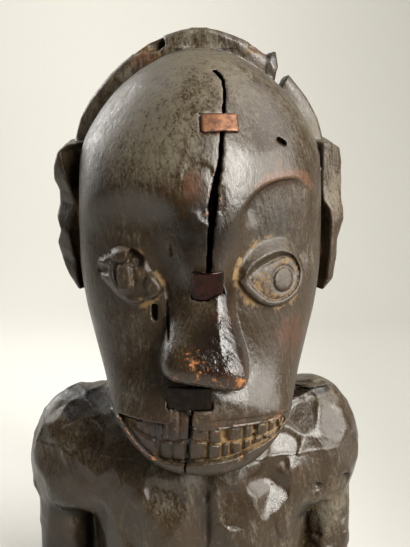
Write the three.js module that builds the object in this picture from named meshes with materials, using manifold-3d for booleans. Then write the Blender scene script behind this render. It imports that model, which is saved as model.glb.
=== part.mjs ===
// A carved hardwood guardian figure's head and shoulders, cut flat below the chest,
// with three old metal straps that hold a drying crack in the face.
// Millimetres, +Z up. The figure faces -Y, and +X is on the viewer's right.
// The origin is on the flat underside of the chest, under the neck.

import * as THREE from "three";
import { mergeVertices } from "three/addons/utils/BufferGeometryUtils.js";
import Module from "manifold-3d";

const wasm = await Module();
wasm.setup();

// Driving dimensions of the head.
const HEAD_TOP_Z = 231.6;
const HEAD_MIDDLE_Z = 155;
const CHIN_Z = 66.4;
const FOREHEAD = { z: 160, depth: 56, height: 71.6 };
const OCCIPUT = { z: 150, depth: 48, height: 81.6 };
const CROWN_Y = -2;

// Half the head's width at a height, as [z, x].
const HEAD_SIDE = [
  [66.4, 4], [68, 12], [70.8, 19], [75.9, 25.7], [81.5, 30.5], [86, 33.6], [90, 35.4], [97, 37.2],
  [104, 39.3], [112, 42], [121, 44.8], [130, 47.3], [142, 49.4], [155, 50], [172, 49.8], [185, 49.2],
  [192, 48], [198, 45.8], [206, 41], [211, 37.3], [215, 33.8], [219, 29.4], [222.5, 24.8], [226, 19],
  [229, 12.8], [231.6, 4],
];

// Side profiles of the head below the forehead and the occiput, as [z, y].
const FACE_PROFILE = [[66.4, -47], [71, -54], [79, -57.5], [90, -60.5], [110, -57], [135, -55], [160, -56]];
const NAPE_PROFILE = [[66.4, -35], [80, -20], [90, -4], [100, 16], [120, 38], [150, 48]];
const WIDEST_PROFILE = [[66.4, -41], [90, -34], [112, -16], [135, -4], [155, 0], [231, CROWN_Y]];

// The hollowed face between brow and cheeks.
const HOLLOW_PROFILE = [
  [95, -63], [105, -57.5], [115, -52], [130, -47.5], [150, -46], [170, -45], [186, -42.6], [195, -40],
];
const HOLLOW_POWER = 3.1;
const HOLLOW_SPREAD = 0.8;
const HOLLOW_EDGE = [
  [7, 96], [7, 140], [8.4, 152], [9.9, 163], [12, 170], [15.8, 175.7], [20, 179.8], [25.5, 182.8],
  [31.5, 183.3], [38, 181], [43, 175.2], [48, 165], [66, 150], [66, 96],
];

// The mouth, with its lip line, its lower rim and two rows of teeth.
const LIP_Z = 90;
const BITE_Z = 80.7;
const GUM_Z = 71;
const MOUTH_DEPTH = 3.4;
const RIM = 2.4;
const TOOTH = { columns: 8, reach: 33.5, step: 10, gap: 0.7, proud: 1.9, shortest: 3.5 };

// The nose, as levels of its height, half-width and front; its foot drops towards +X.
const NOSE = [
  { z: 110.6, half: 11.6, front: -67.4 },
  { z: 112, half: 14, front: -70.2 },
  { z: 115.6, half: 15.5, front: -70.8 },
  { z: 119.5, half: 14.8, front: -69.4 },
  { z: 125, half: 11.8, front: -66 },
  { z: 131.5, half: 8.9, front: -62.2 },
  { z: 139, half: 6.7, front: -58.8 },
  { z: 149, half: 5.4, front: -55.4 },
];
const NOSE_ROOT = { y: -44, spread: 2.4, bevel: 1.8 };
const NOSE_FOOT = { drop: 0.085, fade: 26 };
const NOSE_DRIFT = 0.04;

// The eyes: pointed towards the nose and round outside.
const EYES = [
  { side: 1, x: 27.6, z: 145.4, half: 14.7, height: 14.4, tilt: -0.04 },
  { side: -1, x: 28.2, z: 144.6, half: 14.6, height: 13.2, tilt: 0.15 },
];
const LID = [
  { scale: 1.0, height: -5, shift: 0 },
  { scale: 1.0, height: 0.6, shift: 0 },
  { scale: 0.93, height: 2.6, shift: 0 },
  { scale: 0.76, height: 3.1, shift: 0.2 },
  { scale: 0.68, height: 1.2, shift: 0.4 },
  { scale: 0.42, height: 2.2, shift: 1.6 },
];
const EYE_POINT = 0.7;
const PUPIL = { shift: 4.6, radius: 4.4, height: 3.0 };

// The hair, a thick cap behind the forehead, with plaits at the back.
const HAIR = { lowLevels: [98, 106, 117], roundZ: 128, topZ: 239.6, midY: 12, rimY: 8, frontY: 2 };
const PLAITS = { count: 9, groove: 2.2 };
const HAIR_SIDE = [
  [98, 33], [115, 39], [132, 46], [146, 53], [160, 55.5], [178, 54.5], [193, 52.2], [198.5, 50.8],
  [203.5, 49.2], [208.5, 46.4], [213.5, 43], [218.3, 39], [223.2, 34.2], [228.1, 28.4], [233, 21.6],
  [236, 15.2], [238.2, 8.6], [239.6, 3],
];
const HAIR_BACK = [[98, 45], [110, 51], [132, 58], [155, 60]];
const HAIR_CROWN = { z: 155, depth: 48, height: 84.8 };
const HAIR_KNOB = { x: 29.4, z: 221.5, half: 2.3, rise: 8, frontY: 9, backY: 21 };

// Breaks in the rim: each one's turn from the crown towards +X in degrees, its width, and its floor
// as a distance from the head's middle.
const HAIR_BREAKS = [
  { turn: -15.2, width: 14, backY: 16, floor: 77.5 },
  { turn: 17.5, width: 7, backY: 15, floor: 79 },
  { turn: 27.4, width: 5, backY: 34, floor: 66 },
];

// The side locks in front of the ears, as [z, outer x, ridge x], on the left and on the right.
const LEFT_LOCK = [
  [132.4, 51.0, 50.0], [138, 55.0, 51.6], [145, 58.2, 51.9], [151.5, 59.7, 53.4], [157, 58.2, 54.5],
  [162.5, 59.9, 52.7], [168, 58.6, 51.0], [173.6, 58.6, 52.8], [178, 60.7, 54.4], [184, 60.4, 56.3],
  [190, 58.4, 57.4], [193, 54.6, 53.6],
];
const RIGHT_LOCK = [
  [131.6, 52.0, 50.5], [136, 56.2, 52.5], [144, 57.6, 53.6], [153, 58.0, 54.6], [158, 59.6, 55.4],
  [161, 60.6, 55.8], [172, 59.9, 55.0], [184, 59.6, 55.6], [190.5, 58.4, 56.0], [193.6, 54.0, 53.0],
];
const LOCK = { ridgeY: -3, outerY: 5, grooveX: 47.4, grooveY: 8, innerX: 42, backY: 26, endTaper: 4 };

// The neck, chest, shoulders and arms.
const NECK = { halfWidth: 25, midY: 7, depth: 25, lowZ: 55, topZ: 120 };
const CHEST_LEVELS = [0, 16, 32, 46, 58, 66, 73, 79, 83, 86];
const CHEST_SIDE = [[0, 43], [20, 44.6], [45, 46], [60, 46], [72, 41], [80, 33], [86, 20]];
const CHEST_FRONT = [[0, -32.5], [20, -35.5], [45, -36.5], [60, -34], [72, -27.5], [80, -19], [86, -9]];
const CHEST_BACK = [[0, 27], [45, 31], [60, 31], [80, 26], [86, 15]];
const CHEST_POWER = 2.5;
const BREASTBONE = { depth: 2.6, width: 5 };
const YOKE_LEVELS = [38, 43, 54, 65, 74, 81, 87, 91];
const YOKE_SIDE = [[38, 44], [44, 56], [60, 61], [72, 60], [80, 56], [86, 49], [91, 36]];
const YOKE_FRONT = [[38, -24], [44, -28], [60, -28.5], [72, -24], [80, -18], [86, -10], [91, -1]];
const YOKE_BACK = [[38, 24], [44, 28], [72, 30], [86, 24], [91, 14]];
const YOKE_POWER = 2.5;
const SHOULDERS = [
  { side: 1, x: 47.4, y: 5, z: 60, halfWidth: 21.8, depth: 24, up: 31, down: 23, lean: 0.12 },
  { side: -1, x: 51.2, y: 5, z: 54, halfWidth: 22.2, depth: 24, up: 33.5, down: 19, lean: 0.06 },
];
const LEDGE_POWER = 2.9;
const ARMS = [
  { side: 1, x: 55.4, halfWidth: 10.2 },
  { side: -1, x: 59.2, halfWidth: 10.9 },
];
const ARM = { y: 4, depth: 14, topZ: 50 };
const WEB = { x: 47, y: 9, halfWidth: 8, depth: 7 };

// The drying crack, as [x, z, half-width], above the nose and below it.
const CRACK_DEPTH = 13;
const UPPER_CRACK = [
  [4.2, 223.6, 0.25], [8.4, 220.6, 0.6], [8.6, 216, 0.5], [8.2, 208, 0.9], [7.2, 200, 1.1],
  [6.0, 190, 1.35], [3.8, 178, 1.9], [2.8, 166, 1.5], [1.5, 149, 1.0],
];
const LOWER_CRACK = [[-4.4, 109, 0.5], [-4.9, 87, 0.5], [-7.0, 79, 0.45], [-9.8, 62, 0.4]];

// How closely loose parts fit.
const FIT = 0.3;

// How finely the round forms are faceted: points round the front, round the back, and levels.
const HEAD_DETAIL = { front: 28, back: 4, levels: 26 };
const MOUTH_DETAIL = { front: 16, back: 4, levels: 13 };
const CRACK_DETAIL = { front: 8, back: 4, levels: 9 };
const EYE_DETAIL = { lid: 20, pupil: 10 };

// The front of every cutter that comes in from before the face, and how far back each one goes.
const CUT_FRONT = -90;
const CUT_BACK = { hollow: -4, mouth: -31, teeth: -25, upperCrack: 0, lowerCrack: -40 };

// Materials.
const DARK_WOOD = { color: 0x2f2823, roughness: 0.5, metalness: 0.0 };
const BRIGHT_COPPER = { color: 0xa8613c, roughness: 0.45, metalness: 0.8 };
const DARK_COPPER = { color: 0x3c1d17, roughness: 0.35, metalness: 0.7 };
const BLACK_IRON = { color: 0x1c1815, roughness: 0.5, metalness: 0.6 };

// Metal straps, bent strips that bridge the crack: each one's size, its middle, its lean back from
// upright and its swing round the upright.
const STRAPS = [
  {
    name: "forehead_copper_strap",
    size: { width: 14.8, height: 7.8, thickness: 1.0, bend: 40, hook: 1.6 },
    at: [6.4, -43.6, 205],
    lean: 0.58,
    swing: 0.14,
    look: BRIGHT_COPPER,
  },
  {
    name: "nose_bridge_strap",
    size: { width: 13.2, height: 12, thickness: 0.9, bend: 9, hook: 0.8 },
    at: [1.6, -58, 145.6],
    lean: -0.3,
    swing: 0,
    look: DARK_COPPER,
  },
  {
    name: "upper_lip_strap",
    size: { width: 17.2, height: 10, thickness: 0.9, bend: 42, hook: 0.8 },
    at: [-5.4, -58.9, 102.6],
    lean: -0.19,
    swing: -0.12,
    look: BLACK_IRON,
  },
];

// A smooth curve through a table of [z, value], held level past its ends.
function curve(table) {
  const slope = (a, b) => (b[1] - a[1]) / (b[0] - a[0]);
  const slopes = table.map((point, i) => {
    const before = table[i - 1];
    const after = table[i + 1];
    if (!before) return slope(point, after);
    if (!after) return slope(before, point);
    return slope(before, after);
  });
  return (z) => {
    if (z <= table[0][0]) return table[0][1];
    if (z >= table.at(-1)[0]) return table.at(-1)[1];
    const i = table.findIndex((point) => point[0] > z) - 1;
    const span = table[i + 1][0] - table[i][0];
    const t = (z - table[i][0]) / span;
    const rise = table[i + 1][1] - table[i][1];
    const ease = t * t * (3 - 2 * t);
    const pull = t * (1 - t) * span * (slopes[i] * (1 - t) - slopes[i + 1] * t);
    return table[i][1] + rise * ease + pull;
  };
}

// How wide an oval of half-width 1 still is, at a share of the way from its middle to its tip.
function superOval(share, power = 2) {
  return Math.max(0, 1 - Math.abs(share) ** power) ** (1 / power);
}

// Angles round a section, anticlockwise from +X, with `front` of them on the -Y side.
function sectionAngles(front, back) {
  const behind = Array.from({ length: back }, (_, i) => (Math.PI * i) / back);
  const before = Array.from({ length: front }, (_, i) => Math.PI * (1 + i / front));
  return [...behind, ...before];
}

// One ring of a section whose widest line is at midY.
function ovalRing({ z, x = 0, halfWidth, midY, frontY, backY, power = 2 }, angles) {
  return angles.map((angle) => {
    const across = Math.cos(angle);
    const along = Math.sin(angle);
    const share = Math.abs(across) ** (2 / power) * Math.sign(across);
    const depth = Math.abs(along) ** (2 / power);
    const y = along < 0 ? midY - (midY - frontY) * depth : midY + (backY - midY) * depth;
    return new THREE.Vector3(x + halfWidth * share, y, z);
  });
}

// A closed surface through rings of points, listed from the bottom up and each anticlockwise from above.
function loft(rings) {
  const count = rings[0].length;
  const points = rings.flat();
  const middle = (ring) => ring.reduce((sum, p) => sum.add(p), new THREE.Vector3()).divideScalar(count);
  points.push(middle(rings[0]), middle(rings.at(-1)));
  const faces = [];
  for (let i = 0; i < rings.length - 1; i++) {
    for (let j = 0; j < count; j++) {
      const a = i * count + j;
      const b = i * count + ((j + 1) % count);
      faces.push(a, b, b + count, a, b + count, a + count);
    }
  }
  const top = (rings.length - 1) * count;
  for (let j = 0; j < count; j++) {
    const next = (j + 1) % count;
    faces.push(points.length - 2, next, j);
    faces.push(points.length - 1, top + j, top + next);
  }
  const geometry = new THREE.BufferGeometry().setFromPoints(points);
  geometry.setIndex(faces);
  return solidOf(geometry);
}

// A closed geometry as a solid for cutting and joining.
function solidOf(geometry) {
  const bare = geometry.clone();
  bare.deleteAttribute("normal");
  bare.deleteAttribute("uv");
  const merged = mergeVertices(bare, 1e-4);
  return new wasm.Manifold(
    new wasm.Mesh({
      numProp: 3,
      vertProperties: merged.attributes.position.array,
      triVerts: new Uint32Array(merged.index.array),
    }),
  );
}

// A flat outline in the front view, as [x, z] points, carried back to backY.
function frontPrism(outline, backY) {
  const shape = new THREE.Shape(outline.map(([x, z]) => new THREE.Vector2(x, z)));
  const geometry = new THREE.ExtrudeGeometry(shape, { depth: backY - CUT_FRONT, bevelEnabled: false });
  geometry.rotateX(Math.PI / 2);
  geometry.translate(0, backY, 0);
  return solidOf(geometry);
}

// A box between two values along each axis.
function boxSolid([x0, x1], [y0, y1], [z0, z1]) {
  const box = new THREE.BoxGeometry(x1 - x0, y1 - y0, z1 - z0);
  return solidOf(box.translate((x0 + x1) / 2, (y0 + y1) / 2, (z0 + z1) / 2));
}

// Levels from low to high, closer together towards both ends.
function levels(low, high, count) {
  const middle = (low + high) / 2;
  const half = (high - low) / 2;
  return Array.from({ length: count }, (_, i) => middle - half * Math.cos((Math.PI * i) / (count - 1)));
}

const headHalfWidth = curve(HEAD_SIDE);
const faceCurve = curve(FACE_PROFILE);
const napeCurve = curve(NAPE_PROFILE);
const widestCurve = curve(WIDEST_PROFILE);
const hollowCurve = curve(HOLLOW_PROFILE);

// The head's front and back on the middle line at a height.
function headFront(z) {
  return z > FOREHEAD.z ? -FOREHEAD.depth * superOval((z - FOREHEAD.z) / FOREHEAD.height) : faceCurve(z);
}

function headBack(z) {
  return z > OCCIPUT.z ? OCCIPUT.depth * superOval((z - OCCIPUT.z) / OCCIPUT.height) : napeCurve(z);
}

// One section of the head, taken in on all sides by an inset.
function headSection(z, inset = 0) {
  const midY = widestCurve(z);
  return {
    z,
    halfWidth: headHalfWidth(z) - inset,
    midY,
    frontY: Math.min(headFront(z) + inset, midY - 1),
    backY: Math.max(headBack(z) - inset, midY + 1),
  };
}

function headSolid(inset, detail) {
  const heights = levels(CHIN_Z + 0.2 + inset / 2, HEAD_TOP_Z - 0.3 - inset, detail.levels);
  const angles = sectionAngles(detail.front, detail.back);
  const wide = heights.filter((z) => headHalfWidth(z) > inset + 2);
  return loft(wide.map((z) => ovalRing(headSection(z, inset), angles)));
}

// The y of the hollowed face at a place in the front view.
function hollowY(x, z) {
  const halfWidth = headHalfWidth(z) + HOLLOW_SPREAD;
  const share = Math.min(1, Math.abs(x) / halfWidth);
  const midY = widestCurve(z);
  return midY + (hollowCurve(z) - midY) * Math.sqrt(1 - share ** HOLLOW_POWER);
}

// The solid that stays behind when the face is hollowed.
function hollowCore() {
  const angles = sectionAngles(20, 4);
  const heights = Array.from({ length: 11 }, (_, i) => LIP_Z + 10 * i);
  return loft(
    heights.map((z) =>
      angles.map((angle) => {
        const x = (headHalfWidth(z) + HOLLOW_SPREAD) * Math.cos(angle);
        const y = Math.sin(angle) < 0 ? hollowY(x, z) : widestCurve(z) + 4 * Math.sin(angle);
        return new THREE.Vector3(x, y, z);
      }),
    ),
  );
}

// The outline of one side's hollow: up the nose's side, over the brow and out past the cheek.
function hollowOutline(side) {
  const placed = HOLLOW_EDGE.map(([x, z]) => [side * x, z]);
  return side > 0 ? placed.reverse() : placed;
}

function hollowCutter() {
  const core = hollowCore();
  const sides = [1, -1].map((side) => frontPrism(hollowOutline(side), CUT_BACK.hollow));
  return sides[0].add(sides[1]).subtract(core);
}

// The mouth's outline in the front view: level above, and following the jaw below.
function mouthOutline(margin) {
  const rows = 9;
  const low = GUM_Z - 1.6 + margin;
  const high = LIP_Z - margin;
  const right = Array.from({ length: rows }, (_, i) => {
    const z = low + ((high - low) * i) / (rows - 1);
    return [headHalfWidth(z) - (RIM * (LIP_Z - z)) / (LIP_Z - GUM_Z) - margin * 0.5, z];
  });
  const left = right.map(([x, z]) => [-x, z]).reverse();
  return [...right, ...left];
}

function mouthCutter() {
  return frontPrism(mouthOutline(0), CUT_BACK.mouth).subtract(headSolid(MOUTH_DEPTH, MOUTH_DETAIL));
}

// A point on the mouth's floor at a front-view place, moved out by an offset.
function mouthPoint(x, z, offset) {
  const section = headSection(z, MOUTH_DEPTH - offset);
  const share = Math.max(-1, Math.min(1, x / section.halfWidth));
  return new THREE.Vector3(x, section.midY + (section.frontY - section.midY) * superOval(share), z);
}

// A tooth between two widths, cut short where the jaw is narrower.
function tooth(x0, x1, low, high) {
  const reach = Math.max(Math.abs(x0), Math.abs(x1)) + 0.4;
  const wideEnough = (z) => headSection(z, MOUTH_DEPTH - TOOTH.proud).halfWidth > reach;
  let foot = low;
  while (foot < high - TOOTH.shortest && !wideEnough(foot)) foot += 0.5;
  if (!wideEnough(foot)) return null;
  const ring = (z) => {
    const behind = Math.max(mouthPoint(x0, z, 0).y, mouthPoint(x1, z, 0).y) + 3;
    return [
      mouthPoint(x0, z, TOOTH.proud),
      mouthPoint(x1, z, TOOTH.proud),
      new THREE.Vector3(x1, behind, z),
      new THREE.Vector3(x0, behind, z),
    ];
  };
  return loft([ring(foot), ring(high)]);
}

// Both rows of teeth, narrower towards the corners.
function teeth() {
  const edge = (k) => TOOTH.reach * Math.sin(THREE.MathUtils.degToRad(TOOTH.step * k));
  const rows = [[GUM_Z - 1, BITE_Z - TOOTH.gap / 2], [BITE_Z + TOOTH.gap / 2, LIP_Z + 0.5]];
  const made = [];
  for (const [z0, z1] of rows) {
    for (let k = -TOOTH.columns; k < TOOTH.columns; k++) {
      made.push(tooth(edge(k) + TOOTH.gap / 2, edge(k + 1) - TOOTH.gap / 2, z0, z1));
    }
  }
  const all = wasm.Manifold.union(made.filter(Boolean));
  return all.intersect(frontPrism(mouthOutline(FIT), CUT_BACK.teeth));
}

function nose() {
  const ring = ({ z, half, front }) => {
    const { y, spread, bevel } = NOSE_ROOT;
    const right = [
      [half * 0.45, front],
      [half - bevel, front + 0.5],
      [half, front + bevel + 0.4],
      [half + spread, y],
    ];
    const left = right.map(([px, py]) => [-px, py]).reverse();
    const drop = NOSE_FOOT.drop * Math.max(0, 1 - (z - NOSE[0].z) / NOSE_FOOT.fade);
    const drift = NOSE_DRIFT * (z - NOSE[0].z);
    return [...right, ...left].map(([px, py]) => new THREE.Vector3(px + drift, py, z - drop * px));
  };
  return loft(NOSE.map(ring));
}

// A ring of the eye's outline on the hollowed face, at a share of its size.
function eyeRing(eye, { scale, height, shift }) {
  return Array.from({ length: EYE_DETAIL.lid }, (_, i) => {
    const t = (2 * Math.PI * i) / EYE_DETAIL.lid;
    const along = -Math.cos(t) * eye.half * scale + shift;
    const up = Math.sin(t) * Math.abs(Math.sin(t / 2)) ** EYE_POINT * eye.height * scale;
    const x = eye.side * (eye.x + along);
    const z = eye.z + up + along * eye.tilt;
    return new THREE.Vector3(x, hollowY(x, z) - height, z);
  });
}

function pupilRing(eye, height, scale) {
  const { radius, shift } = PUPIL;
  return Array.from({ length: EYE_DETAIL.pupil }, (_, i) => {
    const t = (2 * Math.PI * i) / EYE_DETAIL.pupil;
    const x = eye.side * (eye.x + shift - radius * scale * Math.cos(t));
    const z = eye.z + shift * eye.tilt + radius * scale * Math.sin(t);
    return new THREE.Vector3(x, hollowY(x, z) - height, z);
  });
}

// A raised eye: its lids, its ball and its round pupil.
function eyeSolid(eye) {
  const facing = (rings) => (eye.side > 0 ? rings.map((ring) => ring.reverse()) : rings);
  const lids = loft(facing(LID.map((ring) => eyeRing(eye, ring))));
  const pupil = loft(facing([pupilRing(eye, -2, 1), pupilRing(eye, PUPIL.height, 0.88)]));
  return lids.add(pupil);
}

// The hair cap, cut off in front at the hairline.
function hairCap() {
  const side = curve(HAIR_SIDE);
  const back = curve(HAIR_BACK);
  const angles = sectionAngles(6, PLAITS.count * 4);
  const rings = [...HAIR.lowLevels, ...levels(HAIR.roundZ, HAIR.topZ, 14)].map((z) => {
    const crown = superOval((z - HAIR_CROWN.z) / HAIR_CROWN.height);
    const backY = z > HAIR_CROWN.z ? HAIR.midY + HAIR_CROWN.depth * crown : back(z);
    const ring = ovalRing({ z, halfWidth: side(z), midY: HAIR.midY, frontY: HAIR.frontY, backY }, angles);
    return ring.map((point, i) => grooved(point, angles[i]));
  });
  const front = boxSolid([-80, 80], [HAIR.rimY - 60, HAIR.rimY], [0, HAIR.topZ + 20]);
  return loft(rings).subtract(front).subtract(hairBreaks()).add(hairKnob());
}

// The broken stump that stands up at the right end of the middle piece of the rim.
function hairKnob() {
  const { x, z, half, rise, frontY, backY } = HAIR_KNOB;
  const ring = (height, share, slip) => [
    new THREE.Vector3(x - half * share + slip, frontY, height),
    new THREE.Vector3(x + half * share + slip, frontY, height - 1),
    new THREE.Vector3(x + half * share + slip, backY, height - 1),
    new THREE.Vector3(x - half * share + slip, backY, height),
  ];
  return loft([ring(z - 6, 1.3, 0.8), ring(z + rise * 0.6, 1, 0), ring(z + rise, 0.55, -0.6)]);
}

// Moves a point of the hair in at the grooves between the plaits, which start behind the hairline.
function grooved(point, angle) {
  if (angle >= Math.PI) return point;
  const wave = Math.abs(Math.sin(angle * PLAITS.count)) ** 0.6;
  const fade = THREE.MathUtils.smoothstep(point.y, HAIR.midY + 8, HAIR.midY + 18);
  const pull = PLAITS.groove * (1 - wave) * fade;
  const outward = new THREE.Vector3(point.x, point.y - HAIR.midY, 0);
  if (outward.length() < pull * 2) return point;
  return point.clone().addScaledVector(outward.normalize(), -pull);
}

// The old breaks in the hair's front edge.
function hairBreaks() {
  const boxes = HAIR_BREAKS.map(({ turn, width, backY, floor }) => {
    const box = boxSolid([-width / 2, width / 2], [0, backY], [floor, floor + 40]);
    return box.rotate([0, turn, 0]).translate([0, 0, HEAD_MIDDLE_Z]);
  });
  return wasm.Manifold.union(boxes);
}

// A side lock: an upright fin with a wavy ridge and a groove between it and the head.
function sideLock(table, side) {
  const rings = table.map(([z, outer, ridge]) => {
    const end = z === table[0][0] || z === table.at(-1)[0] ? LOCK.endTaper : 0;
    const section = [
      [LOCK.innerX, LOCK.backY - end],
      [LOCK.innerX, LOCK.grooveY + 2],
      [LOCK.grooveX, LOCK.grooveY],
      [ridge - 0.6, LOCK.ridgeY + 0.8 + end],
      [ridge + 0.6, LOCK.ridgeY + end],
      [outer, LOCK.outerY + end],
      [outer - 1.5, LOCK.backY - end],
    ];
    const placed = section.map(([x, y]) => new THREE.Vector3(side * x, y, z));
    return side > 0 ? placed : placed.reverse();
  });
  return loft(rings);
}

function neck() {
  const { halfWidth, midY, depth, lowZ, topZ } = NECK;
  const section = { halfWidth, midY, frontY: midY - depth, backY: midY + depth };
  return loft([lowZ, topZ].map((z) => ovalRing({ z, ...section }, sectionAngles(14, 14))));
}

// A body section's rings from tables of its side, front and back.
function bodyRings(heights, sideTable, frontTable, backTable, power, angles) {
  const side = curve(sideTable);
  const front = curve(frontTable);
  const back = curve(backTable);
  return heights.map((z) =>
    ovalRing({ z, halfWidth: side(z), midY: 0, frontY: front(z), backY: back(z), power }, angles),
  );
}

function chest() {
  const angles = sectionAngles(18, 8);
  const rings = bodyRings(CHEST_LEVELS, CHEST_SIDE, CHEST_FRONT, CHEST_BACK, CHEST_POWER, angles);
  const parted = rings.map((ring) =>
    ring.map((p) => {
      const hollow = p.y < 0 ? BREASTBONE.depth * Math.exp(-((p.x / BREASTBONE.width) ** 2)) : 0;
      return p.setY(p.y + hollow);
    }),
  );
  return loft(parted);
}

// The bar of muscle from shoulder to shoulder.
function yoke() {
  return loft(bodyRings(YOKE_LEVELS, YOKE_SIDE, YOKE_FRONT, YOKE_BACK, YOKE_POWER, sectionAngles(14, 8)));
}

// A round shoulder cap with a nearly flat ledge under it, which drops towards the body.
function shoulder({ side, x, y, z, halfWidth, depth, up, down, lean }) {
  const angles = sectionAngles(11, 7);
  const heights = levels(z - down + 0.15, z + up - 0.4, 10);
  return loft(
    heights.map((height) => {
      const rise = height - z;
      const share = rise > 0 ? superOval(rise / up) : superOval(rise / down, LEDGE_POWER);
      const section = {
        z: height,
        x: side * x,
        halfWidth: halfWidth * share,
        midY: y,
        frontY: y - depth * share,
        backY: y + depth * share,
      };
      const below = rise < 0 ? lean * (-rise / down) ** 2 : 0;
      return ovalRing(section, angles).map((p) => p.setZ(p.z + below * side * (p.x - side * x)));
    }),
  );
}

// An arm with the web of wood that joins it to the body.
function arm({ side, x, halfWidth }) {
  const angles = sectionAngles(8, 6);
  const post = (at, y, half, depth) => {
    const ring = (z, share) => {
      const section = { z, x: side * at, halfWidth: half * share, midY: y };
      return ovalRing({ ...section, frontY: y - depth * share, backY: y + depth * share }, angles);
    };
    return loft([ring(0, 1), ring(20, 1.02), ring(ARM.topZ, 0.9)]);
  };
  return post(x, ARM.y, halfWidth, ARM.depth).add(post(WEB.x, WEB.y, WEB.halfWidth, WEB.depth));
}

// A crack's cutter: its line in the front view, as deep as CRACK_DEPTH everywhere.
function crackCutter(line, backY) {
  const right = line.map(([x, z, half]) => [x + half, z]);
  const left = line.map(([x, z, half]) => [x - half, z]);
  return frontPrism([...left, ...right.reverse()], backY).subtract(headSolid(CRACK_DEPTH, CRACK_DETAIL));
}

// A strip bent round an upright line, with its ends turned in, centred on its own middle and facing -Y.
function strap({ width, height, thickness, bend, hook }, grow = 0) {
  const half = width / 2 / bend;
  const outer = bend + thickness / 2 + grow;
  const inner = bend - thickness / 2 - grow;
  const steps = 6;
  const at = (radius, angle) => new THREE.Vector2(radius * Math.sin(angle), -radius * Math.cos(angle));
  const arc = (radius, from, to) =>
    Array.from({ length: steps + 1 }, (_, i) => at(radius, from + ((to - from) * i) / steps));
  const reach = half + grow / bend;
  const lip = reach - (thickness + 2 * grow) / bend;
  const outline = [
    ...arc(outer, -reach, reach),
    at(inner - hook, reach),
    at(inner - hook, lip),
    ...arc(inner, lip, -lip),
    at(inner - hook, -lip),
    at(inner - hook, -reach),
  ];
  const tall = height + 2 * grow;
  const geometry = new THREE.ExtrudeGeometry(new THREE.Shape(outline), { depth: tall, bevelEnabled: false });
  return geometry.translate(0, bend, -tall / 2);
}

function placedStrap({ size, at, lean, swing }, grow) {
  const geometry = strap(size, grow);
  geometry.rotateX(-lean);
  geometry.rotateZ(swing);
  geometry.translate(...at);
  return solidOf(geometry);
}

// The carved figure, from one block of wood.
function bust() {
  const face = headSolid(0, HEAD_DETAIL).subtract(hollowCutter()).subtract(mouthCutter());
  const carved = wasm.Manifold.union([face, teeth(), nose(), ...EYES.map(eyeSolid)]);
  const locks = [sideLock(LEFT_LOCK, -1), sideLock(RIGHT_LOCK, 1)];
  const body = [neck(), chest(), yoke(), ...SHOULDERS.map(shoulder), ...ARMS.map(arm)];
  const whole = wasm.Manifold.union([carved, hairCap(), ...locks, ...body]);
  const upperCrack = crackCutter(UPPER_CRACK, CUT_BACK.upperCrack);
  const lowerCrack = crackCutter(LOWER_CRACK, CUT_BACK.lowerCrack);
  const pockets = wasm.Manifold.union(STRAPS.map((one) => placedStrap(one, FIT)));
  return whole.subtract(upperCrack).subtract(lowerCrack).subtract(pockets);
}

function meshOf(name, solid, look) {
  const { vertProperties, triVerts } = solid.getMesh();
  const geometry = new THREE.BufferGeometry();
  geometry.setAttribute("position", new THREE.BufferAttribute(vertProperties, 3));
  geometry.setIndex(new THREE.BufferAttribute(triVerts, 1));
  const mesh = new THREE.Mesh(geometry, new THREE.MeshStandardMaterial(look));
  mesh.name = name;
  return mesh;
}

const figure = new THREE.Group();
figure.add(meshOf("carved_wooden_bust", bust(), DARK_WOOD));
for (const one of STRAPS) {
  figure.add(meshOf(one.name, placedStrap(one, 0), one.look));
}

export default figure;
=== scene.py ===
import math
from concurrent.futures import ThreadPoolExecutor

import bpy
import numpy as np
from mathutils import Matrix, Vector


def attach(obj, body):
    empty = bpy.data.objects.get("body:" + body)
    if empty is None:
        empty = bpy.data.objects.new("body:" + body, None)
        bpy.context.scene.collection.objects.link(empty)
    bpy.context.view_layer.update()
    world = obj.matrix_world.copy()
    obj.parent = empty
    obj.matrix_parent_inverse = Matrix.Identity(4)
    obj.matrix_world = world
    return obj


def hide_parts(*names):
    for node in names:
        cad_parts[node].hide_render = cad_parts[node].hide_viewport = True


# A carved wooden guardian figure's head and shoulders. Every size below is in millimetres, and is
# turned into metres when a mesh is made. The figure faces -Y, and +X is on the viewer's right.
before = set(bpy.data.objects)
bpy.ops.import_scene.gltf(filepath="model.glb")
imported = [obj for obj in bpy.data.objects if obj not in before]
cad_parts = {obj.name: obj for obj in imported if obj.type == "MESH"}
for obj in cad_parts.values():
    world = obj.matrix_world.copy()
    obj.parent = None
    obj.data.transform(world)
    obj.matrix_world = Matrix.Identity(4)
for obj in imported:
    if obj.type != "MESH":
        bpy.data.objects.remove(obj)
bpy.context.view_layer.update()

MM = 0.001

# How finely the carving is sampled along each axis, as (place, step), and how many triangles are kept.
STEPS_X = [(-77, 0.95), (-44, 0.7), (-38, 0.55), (38, 0.55), (44, 0.7), (73, 0.95)]
STEPS_Y = [(-74, 0.5), (-36, 0.5), (-26, 0.9), (63, 1)]
STEPS_Z = [(-2, 1.1), (58, 0.9), (66, 0.5), (164, 0.5), (176, 0.6), (226, 0.65), (242, 0.7)]
COARSER = 1
TRIANGLES = 196000

# The grid is filled in blocks of this many samples. A block is left out when the surface is further from
# its middle than this share of its half diagonal and this margin.
BLOCK = 4
REACH_SHARE = 1.45
REACH_MARGIN = 1.8

# Driving dimensions of the head.
HEAD_TOP_Z = 231.6
HEAD_MIDDLE_Z = 155
CHIN_Z = 66.4
FOREHEAD = {"z": 160, "depth": 56, "height": 71.6}
OCCIPUT = {"z": 150, "depth": 48, "height": 81.6}
CROWN_Y = -2

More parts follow.
